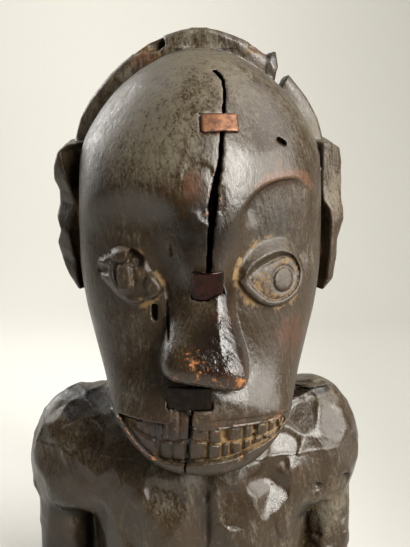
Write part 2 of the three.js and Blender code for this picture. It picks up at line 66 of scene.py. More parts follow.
# Half the head's width at a height, as (z, x).
HEAD_SIDE = [
    (66.4, 4), (68, 12), (70.8, 19), (75.9, 25.7), (81.5, 30.5), (86, 33.6), (90, 35.4), (97, 37.2),
    (104, 39.3), (112, 42), (121, 44.8), (130, 47.3), (142, 49.4), (155, 50), (172, 49.8), (185, 49.2),
    (192, 48), (198, 45.8), (206, 41), (211, 37.3), (215, 33.8), (219, 29.4), (222.5, 24.8), (226, 19),
    (229, 12.8), (231.6, 4),
]

# Side profiles of the head below the forehead and the occiput, as (z, y).
FACE_PROFILE = [(66.4, -47), (71, -54), (79, -57.5), (90, -60.5), (110, -57), (135, -55), (160, -56)]
NAPE_PROFILE = [(66.4, -35), (80, -20), (90, -4), (100, 16), (120, 38), (150, 48)]
WIDEST_PROFILE = [(66.4, -41), (90, -34), (112, -16), (135, -4), (155, 0), (231, CROWN_Y)]

# The hollowed face between brow and cheeks: its profile, its outline on the right, which is crisp,
# and its outline on the left, which has worn soft.
HOLLOW_PROFILE = [
    (95, -64), (101, -59.5), (107, -54.4), (113, -51), (121, -48.8), (130, -47.6), (150, -46), (170, -45),
    (186, -42.6), (195, -40),
]
HOLLOW_BEND = 2.4
HOLLOW_RIGHT = [
    (2, 96), (2, 138), (5, 147), (7.6, 154), (9.4, 163), (10.8, 167), (12.6, 170.4), (15.9, 175.5),
    (18.8, 179.1), (24.9, 182.7), (32.5, 183.6), (38, 182.6), (41.6, 179), (43.2, 172), (45.2, 163),
    (49, 153), (60, 146), (66, 130), (66, 96),
]
HOLLOW_LEFT = [
    (-2, 96), (-2, 138), (-4.5, 147), (-6, 154), (-7.2, 164), (-9.5, 172), (-14, 176.4), (-23, 178.6),
    (-32, 177.4), (-39, 173), (-44, 166), (-50, 158), (-66, 150), (-66, 96),
]

# Where the hollowed face meets the sides of the head, as (z, x), on the left and on the right, and how
# far forward the head's side is there, as a share of its depth.
EDGE_LEFT = [
    (90, 34.6), (100, 37), (110, 39.2), (120, 41.4), (130, 43.3), (140, 44.5), (148, 45.2), (158, 45.3),
    (168, 44.5), (178, 42), (190, 38),
]
EDGE_RIGHT = [
    (90, 34.4), (101, 35.2), (111, 36.2), (120, 37.3), (130, 38.2), (141, 39.6), (147, 43), (153, 45.6),
    (163.5, 43.9), (174, 41.9), (181, 40.2), (190, 37),
]

# The nose by height: where its ridge stands, how far its left and its right side reach from there, and
# how far forward it is. Its foot drops towards +X.
NOSE_RIDGE = [
    (106, 9), (112, 9.6), (116, 8.8), (122, 7), (130, 5.6), (140, 5), (150, 4), (165, 3.4), (180, 3),
]
NOSE_LEFT = [
    (106, 21.6), (112, 25.6), (116, 25.2), (122, 22.6), (130, 19), (140, 16), (147, 12.8), (160, 9),
    (180, 8.4),
]
NOSE_RIGHT = [
    (106, 4.2), (112, 7.2), (116, 8.4), (122, 8.8), (130, 7.6), (140, 6.2), (150, 5), (165, 5.2),
    (180, 6.6),
]
NOSE_FRONT = [
    (106, -66), (110.6, -69.2), (112, -70.2), (115.6, -70.6), (119.5, -69.3), (125, -66.4),
    (131.5, -62.8), (139, -59), (149, -55.6), (165, -54.6), (180, -54),
]
NOSE_BEVEL = math.radians(19)
NOSE_FOOT = {"z": 109.4, "drop": 0.1, "fade": 26}

# The hair, a thick cap behind the forehead, with plaits at the back.
HAIR = {"top": 239.6, "mid": 12, "rim": 8, "nape": 98}
PLAITS = {"count": 9, "groove": 2.2}
HAIR_SIDE = [
    (98, 33), (115, 39), (132, 46), (146, 53), (160, 55.5), (178, 54.5), (193, 52.2), (198.5, 50.8),
    (203.5, 49.2), (208.5, 46.4), (213.5, 43), (218.3, 39), (223.2, 34.2), (228.1, 28.4), (233, 21.6),
    (236, 15.2), (238.2, 8.6), (239.6, 3),
]
HAIR_BACK = [(98, 45), (110, 51), (132, 58), (155, 60)]
HAIR_CROWN = {"z": 155, "depth": 48, "height": 84.8}

# Breaks in the hair's rim: each one's turn from the crown towards +X in degrees, its width, how far
# back it goes, and its floor as a distance from the head's middle.
HAIR_BREAKS = [
    {"turn": -15.2, "width": 14, "back": 16, "floor": 77.5},
    {"turn": 17.5, "width": 7, "back": 15, "floor": 79},
    {"turn": 27.4, "width": 5, "back": 34, "floor": 66},
]

# The broken stump that stands beside a gap in the rim.
STUMP = {"x": 29.4, "z": 221.5, "half": 2.3, "rise": 8, "front": 9, "back": 21}

# The side locks in front of the ears, as (z, outer x, ridge x), on the left and on the right.
LEFT_LOCK = [
    (132.4, 51, 50), (138, 55, 51.6), (145, 58.2, 51.9), (151.5, 59.7, 53.4), (157, 58.2, 54.5),
    (162.5, 59.9, 52.7), (168, 58.6, 51), (173.6, 58.6, 52.8), (178, 60.7, 54.4), (184, 60.4, 56.3),
    (190, 58.4, 57.4), (193, 54.6, 53.6),
]
RIGHT_LOCK = [
    (131.6, 52, 51.5), (136, 56.2, 53.4), (144, 57.6, 54.2), (153, 58, 54.6), (158, 59.6, 54.8),
    (161, 60.6, 54.8), (166, 60.4, 54.2), (169.5, 59.8, 51.6), (172, 59.8, 51), (184, 59.6, 50.8),
    (190.5, 58.4, 50.8), (193.6, 54, 51),
]

# How a lock is carved: where its ridge lies, how steep its two sides are, where its groove lies, and
# how far in and how far back it reaches.
LOCK = {
    "ridge_y": -3, "outer_slope": 1.05, "inner_slope": 1.8, "groove_y": 8, "inner_x": 42, "back_y": 26,
}

# The neck, chest, shoulders and arms.
NECK = {"half": 25, "mid": 7, "low": 55, "top": 120}
CHEST_SIDE = [(0, 43), (20, 44.6), (45, 46), (60, 46), (72, 41), (80, 33), (86, 20)]
CHEST_FRONT = [(0, -32.5), (20, -35.5), (45, -36.5), (60, -34), (72, -27.5), (80, -19), (86, -9)]
CHEST_BACK = [(0, 27), (45, 31), (60, 31), (80, 26), (86, 15)]
BREASTBONE = {"depth": 3.2, "width": 5.5}
BREASTS = [((-17, -36, 34), 17, 2.6), ((19, -36, 33), 16, 2.6)]
YOKE_SIDE = [(38, 44), (44, 56), (60, 61), (72, 60), (80, 56), (86, 49), (91, 36)]
YOKE_FRONT = [(38, -24), (44, -28), (60, -28.5), (72, -24), (80, -18), (86, -10), (91, -1)]
YOKE_BACK = [(38, 24), (44, 28), (72, 30), (86, 24), (91, 14)]
BODY_POWER = 2.5

# Flat cuts on the chest and the shoulders, as (place, how far each one is turned to the right and
# tipped up from the round surface in degrees, depth, reach).
FACETS = [
    ((32, -31, 50), -16, 22, 1.5, 5.5), ((14, -37, 48), -5, 3, 0.8, 6.5), ((34, -22, 69), -6, 4, 0.9, 6),
    ((56, -14, 77), 0, 4, 1, 7), ((64, -8, 62), 0, 8, 1, 7), ((44, -14, 80), -4, 4, 0.8, 6),
    ((-14, -36, 47), 4, 10, 0.8, 8), ((-28, -34, 38), -5, 0, 0.8, 8), ((-50, -20, 74), 0, 4, 0.9, 8),
    ((-62, -12, 60), 0, 4, 1, 8), ((28, -36, 34), 6, -3, 0.9, 6), ((9, -38, 30), -7, 0, 0.8, 6),
    ((60, -10, 22), 0, 8, 1, 7), ((-66, -6, 48), 0, 0, 0.9, 7), ((68, -4, 48), 0, 2, 0.9, 7),
]

# The shoulders, and the arms as (x, half-width). Those on the left have a negative x.
SHOULDERS = [
    {"x": 47.4, "z": 60, "half": 21.8, "up": 31, "down": 23, "lean": 0.12},
    {"x": -51.2, "z": 54, "half": 22.2, "up": 33.5, "down": 19, "lean": -0.06},
]
SHOULDER_Y = 5
SHOULDER_DEPTH = 24
LEDGE_POWER = 2.9
ARMS = [(55.4, 10.2), (-59.2, 10.9)]
ARM = {"y": 4, "depth": 14, "top": 50}
WEB = {"x": 47, "y": 9, "half": 8, "depth": 7}

# The drying crack, as (z, x, half-width), above the nose and below it, and its depth.
CRACK_DEPTH = 13
UPPER_CRACK = [
    (149, 1.5, 0.85), (158, 2.2, 1.05), (166, 2.9, 1.35), (174, 3.5, 1.6), (180, 4.1, 1.5), (186, 5.2, 1),
    (192, 6.2, 0.7), (200, 7.1, 0.7), (208, 8, 0.62), (216, 8.5, 0.5), (219, 8.3, 0.6), (221, 7.4, 0.75),
    (222.5, 6, 0.8), (223.6, 4.4, 0.85),
]
LOWER_CRACK = [
    (62, -8.2, 0.35), (74.8, -6.6, 0.4), (81.2, -6.1, 0.45), (86, -5.8, 0.5), (89.7, -5.2, 0.45),
    (91.8, -4.7, 0.45), (97.8, -4.6, 0.45), (109, -4.4, 0.45),
]

# The mouth in the front view: the lip's lower edge, the top of the bevel that is cut along its right
# half, the jaw's inner edge, where the teeth part, and the feet of the lower ones.
LIP_LINE = [
    (-33.2, 92.2), (-27.6, 92.6), (-22.4, 92.8), (-17.3, 92.5), (-12.2, 92.3), (-11.8, 98.4),
    (-4.8, 98.6), (-4.4, 91), (-0.8, 90.4), (5.2, 90.8), (12.8, 91.2), (23.2, 91.1), (30.4, 90.9),
    (33.6, 90.2),
]
BEVEL_TOP = [
    (-4.4, 91.4), (-2.3, 92.9), (0.7, 93.8), (7.7, 94.4), (15.3, 94.2), (23.1, 93.7), (28.6, 93.2),
    (34, 91.6),
]
JAW_EDGE = [
    (31.8, 87.2), (29.5, 84.6), (27.5, 82.8), (23.3, 80.9), (18.5, 79.4), (14.9, 77.4), (10.8, 76.4),
    (7.2, 76), (2.7, 75.4), (-5.4, 74.6), (-11.9, 74.2), (-17.5, 74.8), (-20.4, 76.2), (-23.2, 78.2),
    (-26.6, 82), (-30.2, 87.2), (-32.4, 91.2),
]
MOUTH_DEPTH = 3.6
BITE_LINE = [
    (-31.9, 90.8), (-22.5, 85.6), (-17.4, 84.1), (-11.8, 84.3), (-7.3, 85.3), (-4.8, 85.2), (1.2, 84.9),
    (5.2, 83.8), (9.2, 84.4), (12.8, 84.5), (16.9, 84.9), (21.6, 84.8), (25.4, 85), (28.7, 86),
]
TOOTH_FEET = [
    (-19, 79.6), (-17.5, 75.8), (-11.9, 75.2), (-5.4, 75.6), (0.7, 77), (2.7, 76.8), (7.2, 77.4),
    (10.8, 77.8), (14.9, 78.8), (18.5, 80.7), (23.3, 81.8), (28.2, 83.5), (29.9, 85),
]

# The teeth, as (left edge, right edge, how clear it is still carved).
UPPER_TEETH = [
    (-26.6, -23.8, 0.35), (-23.6, -21, 0.4), (-20.8, -18.7, 0.35), (-18.5, -15.9, 0.4),
    (-15.7, -13.4, 0.35), (-13.2, -9.4, 0.45), (-9.2, -5.2, 0.5), (-4.7, 1.8, 0.8), (1.9, 6.8, 0.85),
    (9.6, 15.1, 1), (15.4, 18.8, 1), (20.5, 25.1, 0.95), (25.4, 28.6, 0.85), (28.9, 31.4, 0.7),
]
LOWER_TEETH = [
    (-16.8, -12.2, 0.75), (-12, -7, 0.75), (-5.6, 1.2, 0.95), (1.5, 6.8, 0.95), (7.1, 10.2, 0.9),
    (10.6, 15, 1), (15.3, 18.6, 0.95), (18.9, 23.2, 0.75), (23.5, 28.2, 0.6),
]
TOOTH_HEIGHT = 2.1
LIP_HEIGHT = 101
TOOTH_PITS = [
    ((19.7, 89), 0.8, 1.6), ((19.5, 84.7), 1, 1.5), ((8.2, 87.6), 1.3, 2.8), ((28.9, 87.4), 1, 1.5),
]

# The eyes in the front view: each one's outline and, on the right, its opening and its pupil.
RIGHT_EYE = [
    (12.7, 146.2), (14.1, 152.4), (16.9, 156.4), (21, 159.2), (25.2, 160.6), (28.9, 160.9), (32.1, 160.4),
    (34.2, 158.6), (36.2, 155.7), (38.2, 151.7), (39.6, 147.4), (40.5, 143.8), (38.4, 138.8),
    (33.9, 135.2), (28.5, 133.8), (23.3, 134.9), (19.6, 137.4), (16.4, 140.2), (14.2, 143.4),
]
RIGHT_OPENING = [
    (17.4, 146.1), (20.5, 149), (22.5, 150), (25.8, 151.3), (29.7, 152.9), (33.6, 153.2), (35.9, 151.8),
    (37.4, 148.6), (37.9, 146), (37.3, 142.3), (35.2, 139.4), (31.9, 137.6), (28.2, 136.9), (25.4, 137.8),
    (22.6, 139.8), (19.3, 143),
]
RIGHT_PUPIL = {"x": 31.2, "z": 144.7, "half": 4.2, "height": 4.9}
LEFT_EYE = [
    (-41.4, 147.9), (-40.9, 151), (-39.1, 153), (-36.3, 154.4), (-33.6, 156.6), (-30.6, 157.4),
    (-26.8, 156.8), (-23.6, 155.3), (-21.2, 152.8), (-19.6, 149.6), (-16.9, 146.3), (-14.8, 143.4),
    (-15.1, 140.6), (-17.6, 138), (-22.4, 135.9), (-25.6, 134.8), (-29.4, 135.4), (-33, 137.4),
    (-37, 140.8), (-40.2, 144.2),
]

# Lumps and pits of the worn left eye, as (place, half-width, half-height, tilt, softness, rise).
EYE_LUMPS = [
    ((-32, 154.4), 3.5, 3.2, 0, 0.5, 1.5), ((-30.1, 145.4), 3.5, 6, 0.1, 0.8, 1.7),
    ((-18, 142.2), 3.7, 6.6, 0.35, 0.7, 1.4), ((-26, 136.4), 3.2, 1.8, 0, 0.5, 0.8),
    ((-38.3, 147), 2.4, 2.5, 0, 0.9, -1.5), ((-25.4, 153.2), 3.3, 4, 0, 0.7, -3.6),
    ((-26.7, 151.5), 1.5, 1.7, 0, 0.5, 2.9), ((-39.2, 152.4), 0.5, 1.9, 0.7, 0.5, -0.9),
    ((-37.6, 153.8), 0.5, 1.9, 0.7, 0.5, -0.9), ((-36, 154.6), 0.5, 1.9, 0.5, 0.5, -0.9),
]

# The lids' height across the right eye, as shares of the way in and heights.
UPPER_LID = ([0, 0.1, 0.5, 0.58, 0.64, 0.8, 1], [0, 0.35, 3.1, 3.7, 3.5, 1.7, 0.7])
LOWER_LID = ([0, 0.16, 0.4, 0.85, 0.93, 1], [0, 1.9, 2.5, 2.4, 1.6, 0.9])

# Flakes that came off beside the crack, as (place, half-width, half-height, tilt, squareness, softness,
# depth).
BROW_FLAKES = [
    ((-2.6, 181.8), 6, 8.8, -0.12, 3.5, 0.12, 0.4), ((0.6, 172.4), 2.2, 2.8, 0.4, 2.5, 0.3, 0.35),
    ((6.4, 177.5), 1.6, 5.5, 0, 3, 0.3, 0.25),
]


def smooth(low, high, value):
    """0 below low, 1 above high, and an even slope between them."""
    t = np.clip((value - low) / (high - low), 0, 1)
    return t * t * (3 - 2 * t)


def mix(a, b, share):
    return a + (b - a) * share


def bell(value, width):
    """1 at 0, falling off evenly to both sides."""
    return np.exp(-((value / width) ** 2))


def join(a, b, round_off):
    """The union of two distances, with a fillet."""
    h = np.maximum(round_off - np.abs(a - b), 0)
    return np.minimum(a, b) - h * h / (4 * round_off)


def keep(a, b, round_off):
    """What is inside both, with a rounded edge."""
    return -join(-a, -b, round_off)


def ellipse(x, z, at, half, height, tilt=0.0, power=2.0):
    """1 at a place in the front view, 0 on an ellipse round it, and below 0 outside that."""
    c, s = math.cos(tilt), math.sin(tilt)
    u = ((x - at[0]) * c + (z - at[1]) * s) / half
    v = ((z - at[1]) * c - (x - at[0]) * s) / height
    return 1 - (np.abs(u) ** power + np.abs(v) ** power)


def hill(*place, **form):
    """1 at a place in the front view, falling to 0 at an ellipse round it."""
    return np.maximum(0, ellipse(*place, **form))


class Curve:
    """A smooth curve through (z, value) points, held level past its ends, with its slope."""

    STEP = 0.25

    def __init__(self, points):
        z, value = np.array(points, float).T
        slope = np.empty_like(value)
        slope[1:-1] = (value[2:] - value[:-2]) / (z[2:] - z[:-2])
        slope[[0, -1]] = (np.diff(value) / np.diff(z))[[0, -1]]
        at = np.arange(z[0], z[-1] + self.STEP, self.STEP).clip(z[0], z[-1])
        k = np.clip(np.searchsorted(z, at, side="right") - 1, 0, len(z) - 2)
        span = z[k + 1] - z[k]
        t = (at - z[k]) / span
        pull = t * (1 - t) * span * (slope[k] * (1 - t) - slope[k + 1] * t)
        self.fill(z[0], value[k] + (value[k + 1] - value[k]) * t * t * (3 - 2 * t) + pull)

    def fill(self, low, values):
        self.low = low
        self.values = values.astype(np.float32)
        self.slopes = np.gradient(values, self.STEP).astype(np.float32)
        self.slopes[[0, -1]] = 0

    @classmethod
    def along(cls, function, low, high):
        """A curve that follows a function of the height."""
        made = cls.__new__(cls)
        made.fill(low, np.array([function(z) for z in np.arange(low, high + cls.STEP, cls.STEP)]))
        return made

    def read(self, table, z):
        t = np.clip((z - self.low) / self.STEP, 0, len(table) - 1.001)
        k = t.astype(np.int32)
        share = (t - k).astype(np.float32)
        return table[k] * (1 - share) + table[k + 1] * share

    def __call__(self, z):
        return self.read(self.values, z)

    def slope(self, z):
        return self.read(self.slopes, z)


class FrontMap:
    """Values over a patch of the front view, read between its points."""

    def __init__(self, function, x_range, z_range, pitch, outside=0.0):
        self.low = (x_range[0], z_range[0])
        self.pitch = pitch
        x = np.arange(x_range[0], x_range[1] + pitch, pitch)
        z = np.arange(z_range[0], z_range[1] + pitch, pitch)
        self.values = np.asarray(function(*np.meshgrid(x, z, indexing="ij")), np.float32)
        self.outside = outside

    def __call__(self, x, z):
        u = (x - self.low[0]) / self.pitch
        v = (z - self.low[1]) / self.pitch
        columns, rows = self.values.shape
        there = (u > 0) & (v > 0) & (u < columns - 1) & (v < rows - 1)
        u = np.clip(u, 0, columns - 1.001)
        v = np.clip(v, 0, rows - 1.001)
        i, j = u.astype(np.int32), v.astype(np.int32)
        a, b = u - i, v - j
        low = self.values[i, j] * (1 - a) + self.values[i + 1, j] * a
        high = self.values[i, j + 1] * (1 - a) + self.values[i + 1, j + 1] * a
        return np.where(there, low * (1 - b) + high * b, self.outside)


def rounded(points, rounds):
    """A closed outline with its corners cut off, over and over."""
    p = np.array(points, float)
    for _ in range(rounds):
        after = np.roll(p, -1, axis=0)
        p = np.stack([p * 0.75 + after * 0.25, p * 0.25 + after * 0.75], axis=1).reshape(-1, 2)
    return p


def outline_distance(points, x, z, rounds=2):
    """Distance in the front view to a closed outline with rounded corners, negative inside."""
    points = rounded(points, rounds)
    best = np.full(x.shape, np.inf)
    inside = np.zeros(x.shape, bool)
    for (x0, z0), (x1, z1) in zip(points, np.roll(points, -1, axis=0)):
        dx, dz = x1 - x0, z1 - z0
        t = np.clip(((x - x0) * dx + (z - z0) * dz) / (dx * dx + dz * dz + 1e-9), 0, 1)
        best = np.minimum(best, (x - x0 - t * dx) ** 2 + (z - z0 - t * dz) ** 2)
        if dz:
            inside ^= ((z0 > z) != (z1 > z)) & (x < dx * (z - z0) / dz + x0)
    return np.where(inside, -1, 1) * np.sqrt(best)


# Smooth noise from seeded lattices that repeat.
LATTICE = 32
LATTICES = [np.random.default_rng(seed).random((LATTICE,) * 3).astype(np.float32) for seed in range(6)]


def noise(x, y, z, size, seed=0):
    """Smooth noise from -1 to 1, with bumps about as wide as size, or as size's three numbers."""
    sizes = size if isinstance(size, tuple) else (size,) * 3
    lattice = LATTICES[seed % len(LATTICES)]
    corners, shares = [], []
    for value, width, shift in zip((x, y, z), sizes, (3.7, 11.3, 7.9)):
        t = np.asarray(value, np.float32) / width + shift * (seed + 1)
        k = np.floor(t)
        f = (t - k).astype(np.float32)
        shares.append(f * f * (3 - 2 * f))
        corners.append(k.astype(np.int32) % LATTICE)
    (i, j, k), (a, b, c) = corners, shares
    i1, j1, k1 = (i + 1) % LATTICE, (j + 1) % LATTICE, (k + 1) % LATTICE

    def at_height(h):
        low = mix(lattice[i, j, h], lattice[i1, j, h], a)
        return mix(low, mix(lattice[i, j1, h], lattice[i1, j1, h], a), b)

    return mix(at_height(k), at_height(k1), c) * 2 - 1


def rough(x, y, z, size, seed=0, octaves=3):
    """Noise with finer and weaker noise added to it."""
    total, strength = 0, 1.0
    for octave in range(octaves):
        total = total + strength * noise(x, y, z, size / 2**octave, seed + octave)
        strength *= 0.5
    return total / 1.75


def gouges(x, y, z, size, seed=0):
    """Scoops left by the adze: 0 on the ridges between them and 1 in the middle of each."""
    sizes = size if isinstance(size, tuple) else (size,) * 3
    spots = np.random.default_rng(seed + 50).random((LATTICE, LATTICE, LATTICE, 3)).astype(np.float32)
    cells = [np.floor(value / width) for value, width in zip((x, y, z), sizes)]
    nearest = np.full(x.shape, 9.0, np.float32)
    second = np.full(x.shape, 9.0, np.float32)
    for step in np.ndindex(3, 3, 3):
        corner = [cell + offset - 1 for cell, offset in zip(cells, step)]
        index = tuple(c.astype(np.int32) % LATTICE for c in corner)
        spot = spots[index]
        squared = sum(
            ((value / width) - c - spot[..., axis]) ** 2
            for axis, (value, width, c) in enumerate(zip((x, y, z), sizes, corner))
        )
        second = np.minimum(second, np.maximum(nearest, squared))
        nearest = np.minimum(nearest, squared)
    return np.clip(np.sqrt(second) - np.sqrt(nearest), 0, 1)


def domed(low, crown, side, middle=0.0):
    """A profile that follows a curve up to the crown's foot, and an ellipse from there."""
    curve = Curve(low)

    def at(z):
        if z <= crown["z"]:
            return float(curve(np.array(z)))
        share = (z - crown["z"]) / crown["height"]
        return middle + side * crown["depth"] * math.sqrt(max(0.0, 1 - share * share))

    return at


head_side = Curve(HEAD_SIDE)
widest = Curve(WIDEST_PROFILE)
head_front = Curve.along(domed(FACE_PROFILE, FOREHEAD, -1), CHIN_Z, HEAD_TOP_Z)
head_back = Curve.along(domed(NAPE_PROFILE, OCCIPUT, 1), CHIN_Z, HEAD_TOP_Z)
hollow_profile = Curve(HOLLOW_PROFILE)
edge_left = Curve(EDGE_LEFT)
edge_right = Curve(EDGE_RIGHT)
nose_ridge = Curve(NOSE_RIDGE)
nose_left = Curve(NOSE_LEFT)
nose_right = Curve(NOSE_RIGHT)
nose_front = Curve(NOSE_FRONT)
hair_side = Curve(HAIR_SIDE)
hair_back = Curve.along(domed(HAIR_BACK, HAIR_CROWN, 1, HAIR["mid"]), HAIR["nape"], HAIR["top"])


def level(value):
    """A curve that has the same value everywhere."""
    return Curve([(0, value), (250, value)])


def oval(x, y, z, side, middle, front, back, power=2.0):
    """Roughly the distance to a form whose level sections are ovals, from curves of their sizes."""
    half, mid = side(z), middle(z)
    ahead = y < mid
    end = np.where(ahead, front(z), back(z))
    end_slope = np.where(ahead, front.slope(z), back.slope(z))
    sign = np.where(ahead, -1.0, 1.0)
    depth = np.maximum((end - mid) * sign, 1.0)
    mid_slope = middle.slope(z)
    depth_slope = (end_slope - mid_slope) * sign
    u = np.abs(x) / half
    v = np.abs(y - mid) / depth
    size = (u**power + v**power) ** (1 / power) + 1e-6
    du = (u / size) ** (power - 1)
    dv = (v / size) ** (power - 1)
    dz = -du * u * side.slope(z) / half - dv * v * depth_slope / depth - sign * dv * mid_slope / depth
    return (size - 1) / np.sqrt((du / half) ** 2 + (dv / depth) ** 2 + dz**2)


def head_form(x, y, z):
    form = oval(x, y, z, head_side, widest, head_front, head_back)
    form = np.maximum(form, z - HEAD_TOP_Z)
    return keep(form, CHIN_Z - z, 3.0)


def hollow_floor(x, y, z):
    """Distance to the floor of the hollowed face, negative behind it."""
    edge = np.where(x > 0, edge_right(z), edge_left(z))
    mid = widest(z)
    half = head_side(z)
    at_edge = mid + (head_front(z) - mid) * np.sqrt(np.maximum(0.02, 1 - (edge / half) ** 2))
    centre = hollow_profile(z)
    u = np.abs(x) / edge
    floor = centre + (at_edge - centre) * u**HOLLOW_BEND
    slope = HOLLOW_BEND * (at_edge - centre) * u ** (HOLLOW_BEND - 1) / edge
    return (floor - y) / np.sqrt(1 + slope**2)


def hollow_map(x, z):
    right = outline_distance(HOLLOW_RIGHT, x, z)
    left = outline_distance(HOLLOW_LEFT, x, z)
    return np.where(x > 0, right, left)


hollow_edge = FrontMap(hollow_map, (-70, 70), (90, 200), 0.4, outside=20.0)


def nose_form(x, y, z):
    """A wedge with a broad flat left side and a steep right side."""
    drop = NOSE_FOOT["drop"] * np.maximum(0, 1 - (z - NOSE_FOOT["z"]) / NOSE_FOOT["fade"])
    height = z + drop * x
    across = x - nose_ridge(height)
    right = across > 0
    half = np.where(right, nose_right(height), nose_left(height))
    low = smooth(137, 117, height)
    power = np.where(right, 2.1 + 0.9 * low, 1.55 + 1.35 * low)
    back = hollow_profile(height) + 0.4
    depth = np.maximum(back - nose_front(height), 2)
    u = np.abs(across) / half
    v = np.maximum(back - y, 0) / depth
    size = (u**power + v**power) ** (1 / power) + 1e-5
    du = (u / size) ** (power - 1) / half
    dv = (v / size) ** (power - 1) / depth
    form = np.maximum((size - 1) / np.sqrt(du**2 + dv**2 + 1e-4), y - back - 12)
    bevel = across * math.sin(NOSE_BEVEL) + (nose_front(height) - y) * math.cos(NOSE_BEVEL)
    left_face = nose_front(height) - y - 0.26 * across * (1 - 0.5 * low)
    form = keep(form, np.where(right, bevel, left_face), 1.0)
    form = keep(form, NOSE_FOOT["z"] - height, 2.2)
    return keep(form, height - 172, 8.0)


def face_form(x, y, z):
    head = head_form(x, y, z)
    worn = smooth(2, -6, x) * smooth(150, 164, z)
    crisp = smooth(164, 173, z) * (1 - worn)
    edge = hollow_edge(x, z) - mix(1.0, 0.3, crisp) * head
    floor = -hollow_floor(x, y, z)
    cut = mix(keep(edge, floor, 5.0), keep(edge, floor, 2.0), crisp)
    cut = mix(cut, keep(edge, floor, 8.0), worn)
    carved = keep(head, -cut, mix(mix(2.4, 1.0, crisp), 6.0, worn))
    return join(carved, nose_form(x, y, z), mix(1.2, 3.0, smooth(128, 144, z)))


def right_eye_relief(x, z):
    """How far the right eye stands out of the hollow: its lids, its ball and its pupil."""
    outer = np.maximum(0, -outline_distance(RIGHT_EYE, x, z))
    to_opening = outline_distance(RIGHT_OPENING, x, z)
    inside = to_opening < 0
    share = outer / (outer + np.maximum(0, to_opening) + 1e-6)
    upper = np.interp(share, *UPPER_LID)
    lower = np.interp(share, *LOWER_LID)
    over = smooth(-1.2, 1.2, z - (146.1 + 0.04 * (x - 12.7)))
    lids = mix(lower, upper, over)
    pupil = RIGHT_PUPIL
    far = np.sqrt(((x - pupil["x"]) / pupil["half"]) ** 2 + ((z - pupil["z"]) / pupil["height"]) ** 2)
    ball = 1.0 + 1.5 * np.maximum(0, 1 - (far / 2.6) ** 2)
    ball = ball - 0.75 * bell(far - 1.0, 0.13) + 0.25 * smooth(1.0, 0.85, far)
    corner = 0.5 * hill(x, z, (19.6, 146), 4, 3)
    relief = np.where(inside, np.minimum(ball, 0.9 - 2.2 * to_opening) + corner, lids)
    return np.where(outer > 0, relief, 0)


def pillow(x, z, at, half, height, tilt=0.0, edge=0.5):
    """1 over most of an ellipse-like patch, and falling to 0 at its edge."""
    return smooth(0, edge, hill(x, z, at, half, height, tilt, power=3.0))


def left_eye_relief(x, z):
    """The left eye, worn down to a lump with remains of its lids, its ball and a pit."""
    outer = -outline_distance(LEFT_EYE, x, z)
    lump = 1.5 * smooth(-0.2, 2.4, outer)
    for at, half, height, tilt, edge, rise in EYE_LUMPS:
        lump = lump + rise * pillow(x, z, at, half, height, tilt, edge)
    arc = np.hypot(x + 29.4, (z - 147.6) / 1.35) - 6.0
    left = smooth(-30.5, -33, x) * smooth(153, 150, z)
    lump = lump + (0.9 * bell(arc, 0.75) - 0.6 * bell(arc + 1.5, 0.6)) * left
    grit = pillow(x, z, (-24, 145.4), 5.5, 5.5, edge=0.9)
    lump = lump + (0.15 + 0.6 * grit) * rough(x, 0 * x, z, 2.4, seed=2)
    groove = -0.9 * pillow(x, z, (-13.6, 141.6), 1.3, 4.6, tilt=0.25, edge=1.0)
    return np.where(outer > -0.2, lump * smooth(-0.2, 1.0, outer), 0) + groove


def reads(table, x):
    return np.interp(x, *np.array(table).T)


def tooth_row(x, z, teeth, low, high):
    """A row of teeth between two lines, each one rounded at its sides and ends."""
    height = np.zeros_like(x)
    from_end = np.minimum(z - low, high - z)
    for k, (left, right, clear) in enumerate(teeth):
        from_side = np.minimum(x - left, right - x)
        corner = np.minimum(from_side, from_end) + 0.25 * rough(x, 0 * x, z, 2.0, seed=k)
        crown = smooth(-0.1, 0.75, corner) * (1 + 0.12 * np.sin(2.6 * k))
        crown = crown * (1 - 0.5 * ((x - left) / (right - left) - 0.5) ** 2)
        stump = mix(0.75 * smooth(-0.2, 0.6, from_end), 1, crown) * mix(0.9, 1, clear)
        tooth = stump * mix(0.8 * (1 - clear), 1, crown)
        height = np.maximum(height, np.where((from_side > -0.1) & (crown > 0), tooth, 0))
    return height * TOOTH_HEIGHT


def tooth_relief(x, z):
    """Both rows of teeth: clear on the right, worn nearly flat on the left."""
    bite, feet = reads(BITE_LINE, x), reads(TOOTH_FEET, x)
    upper = tooth_row(x, z, UPPER_TEETH, bite + 0.15, LIP_HEIGHT)
    lower = tooth_row(x, z, LOWER_TEETH, feet, bite - 0.15)
    teeth = np.maximum(upper, lower)
    for at, half, height in TOOTH_PITS:
        teeth = teeth - 1.6 * smooth(0, 0.5, hill(x, z, at, half, height))
    slope = 1.9 + 0.4 * rough(x, 0 * x, z, 5.0, seed=4)
    wall = smooth(-17.2, -19.4, x) * smooth(bite + 0.8, bite - 1.2, z)
    teeth = teeth * mix(0.6, 1.0, smooth(-8, 3, x))
    return mix(teeth, slope, wall)


def mouth_distance(x, z):
    return outline_distance(LIP_LINE + JAW_EDGE, x, z, rounds=1)


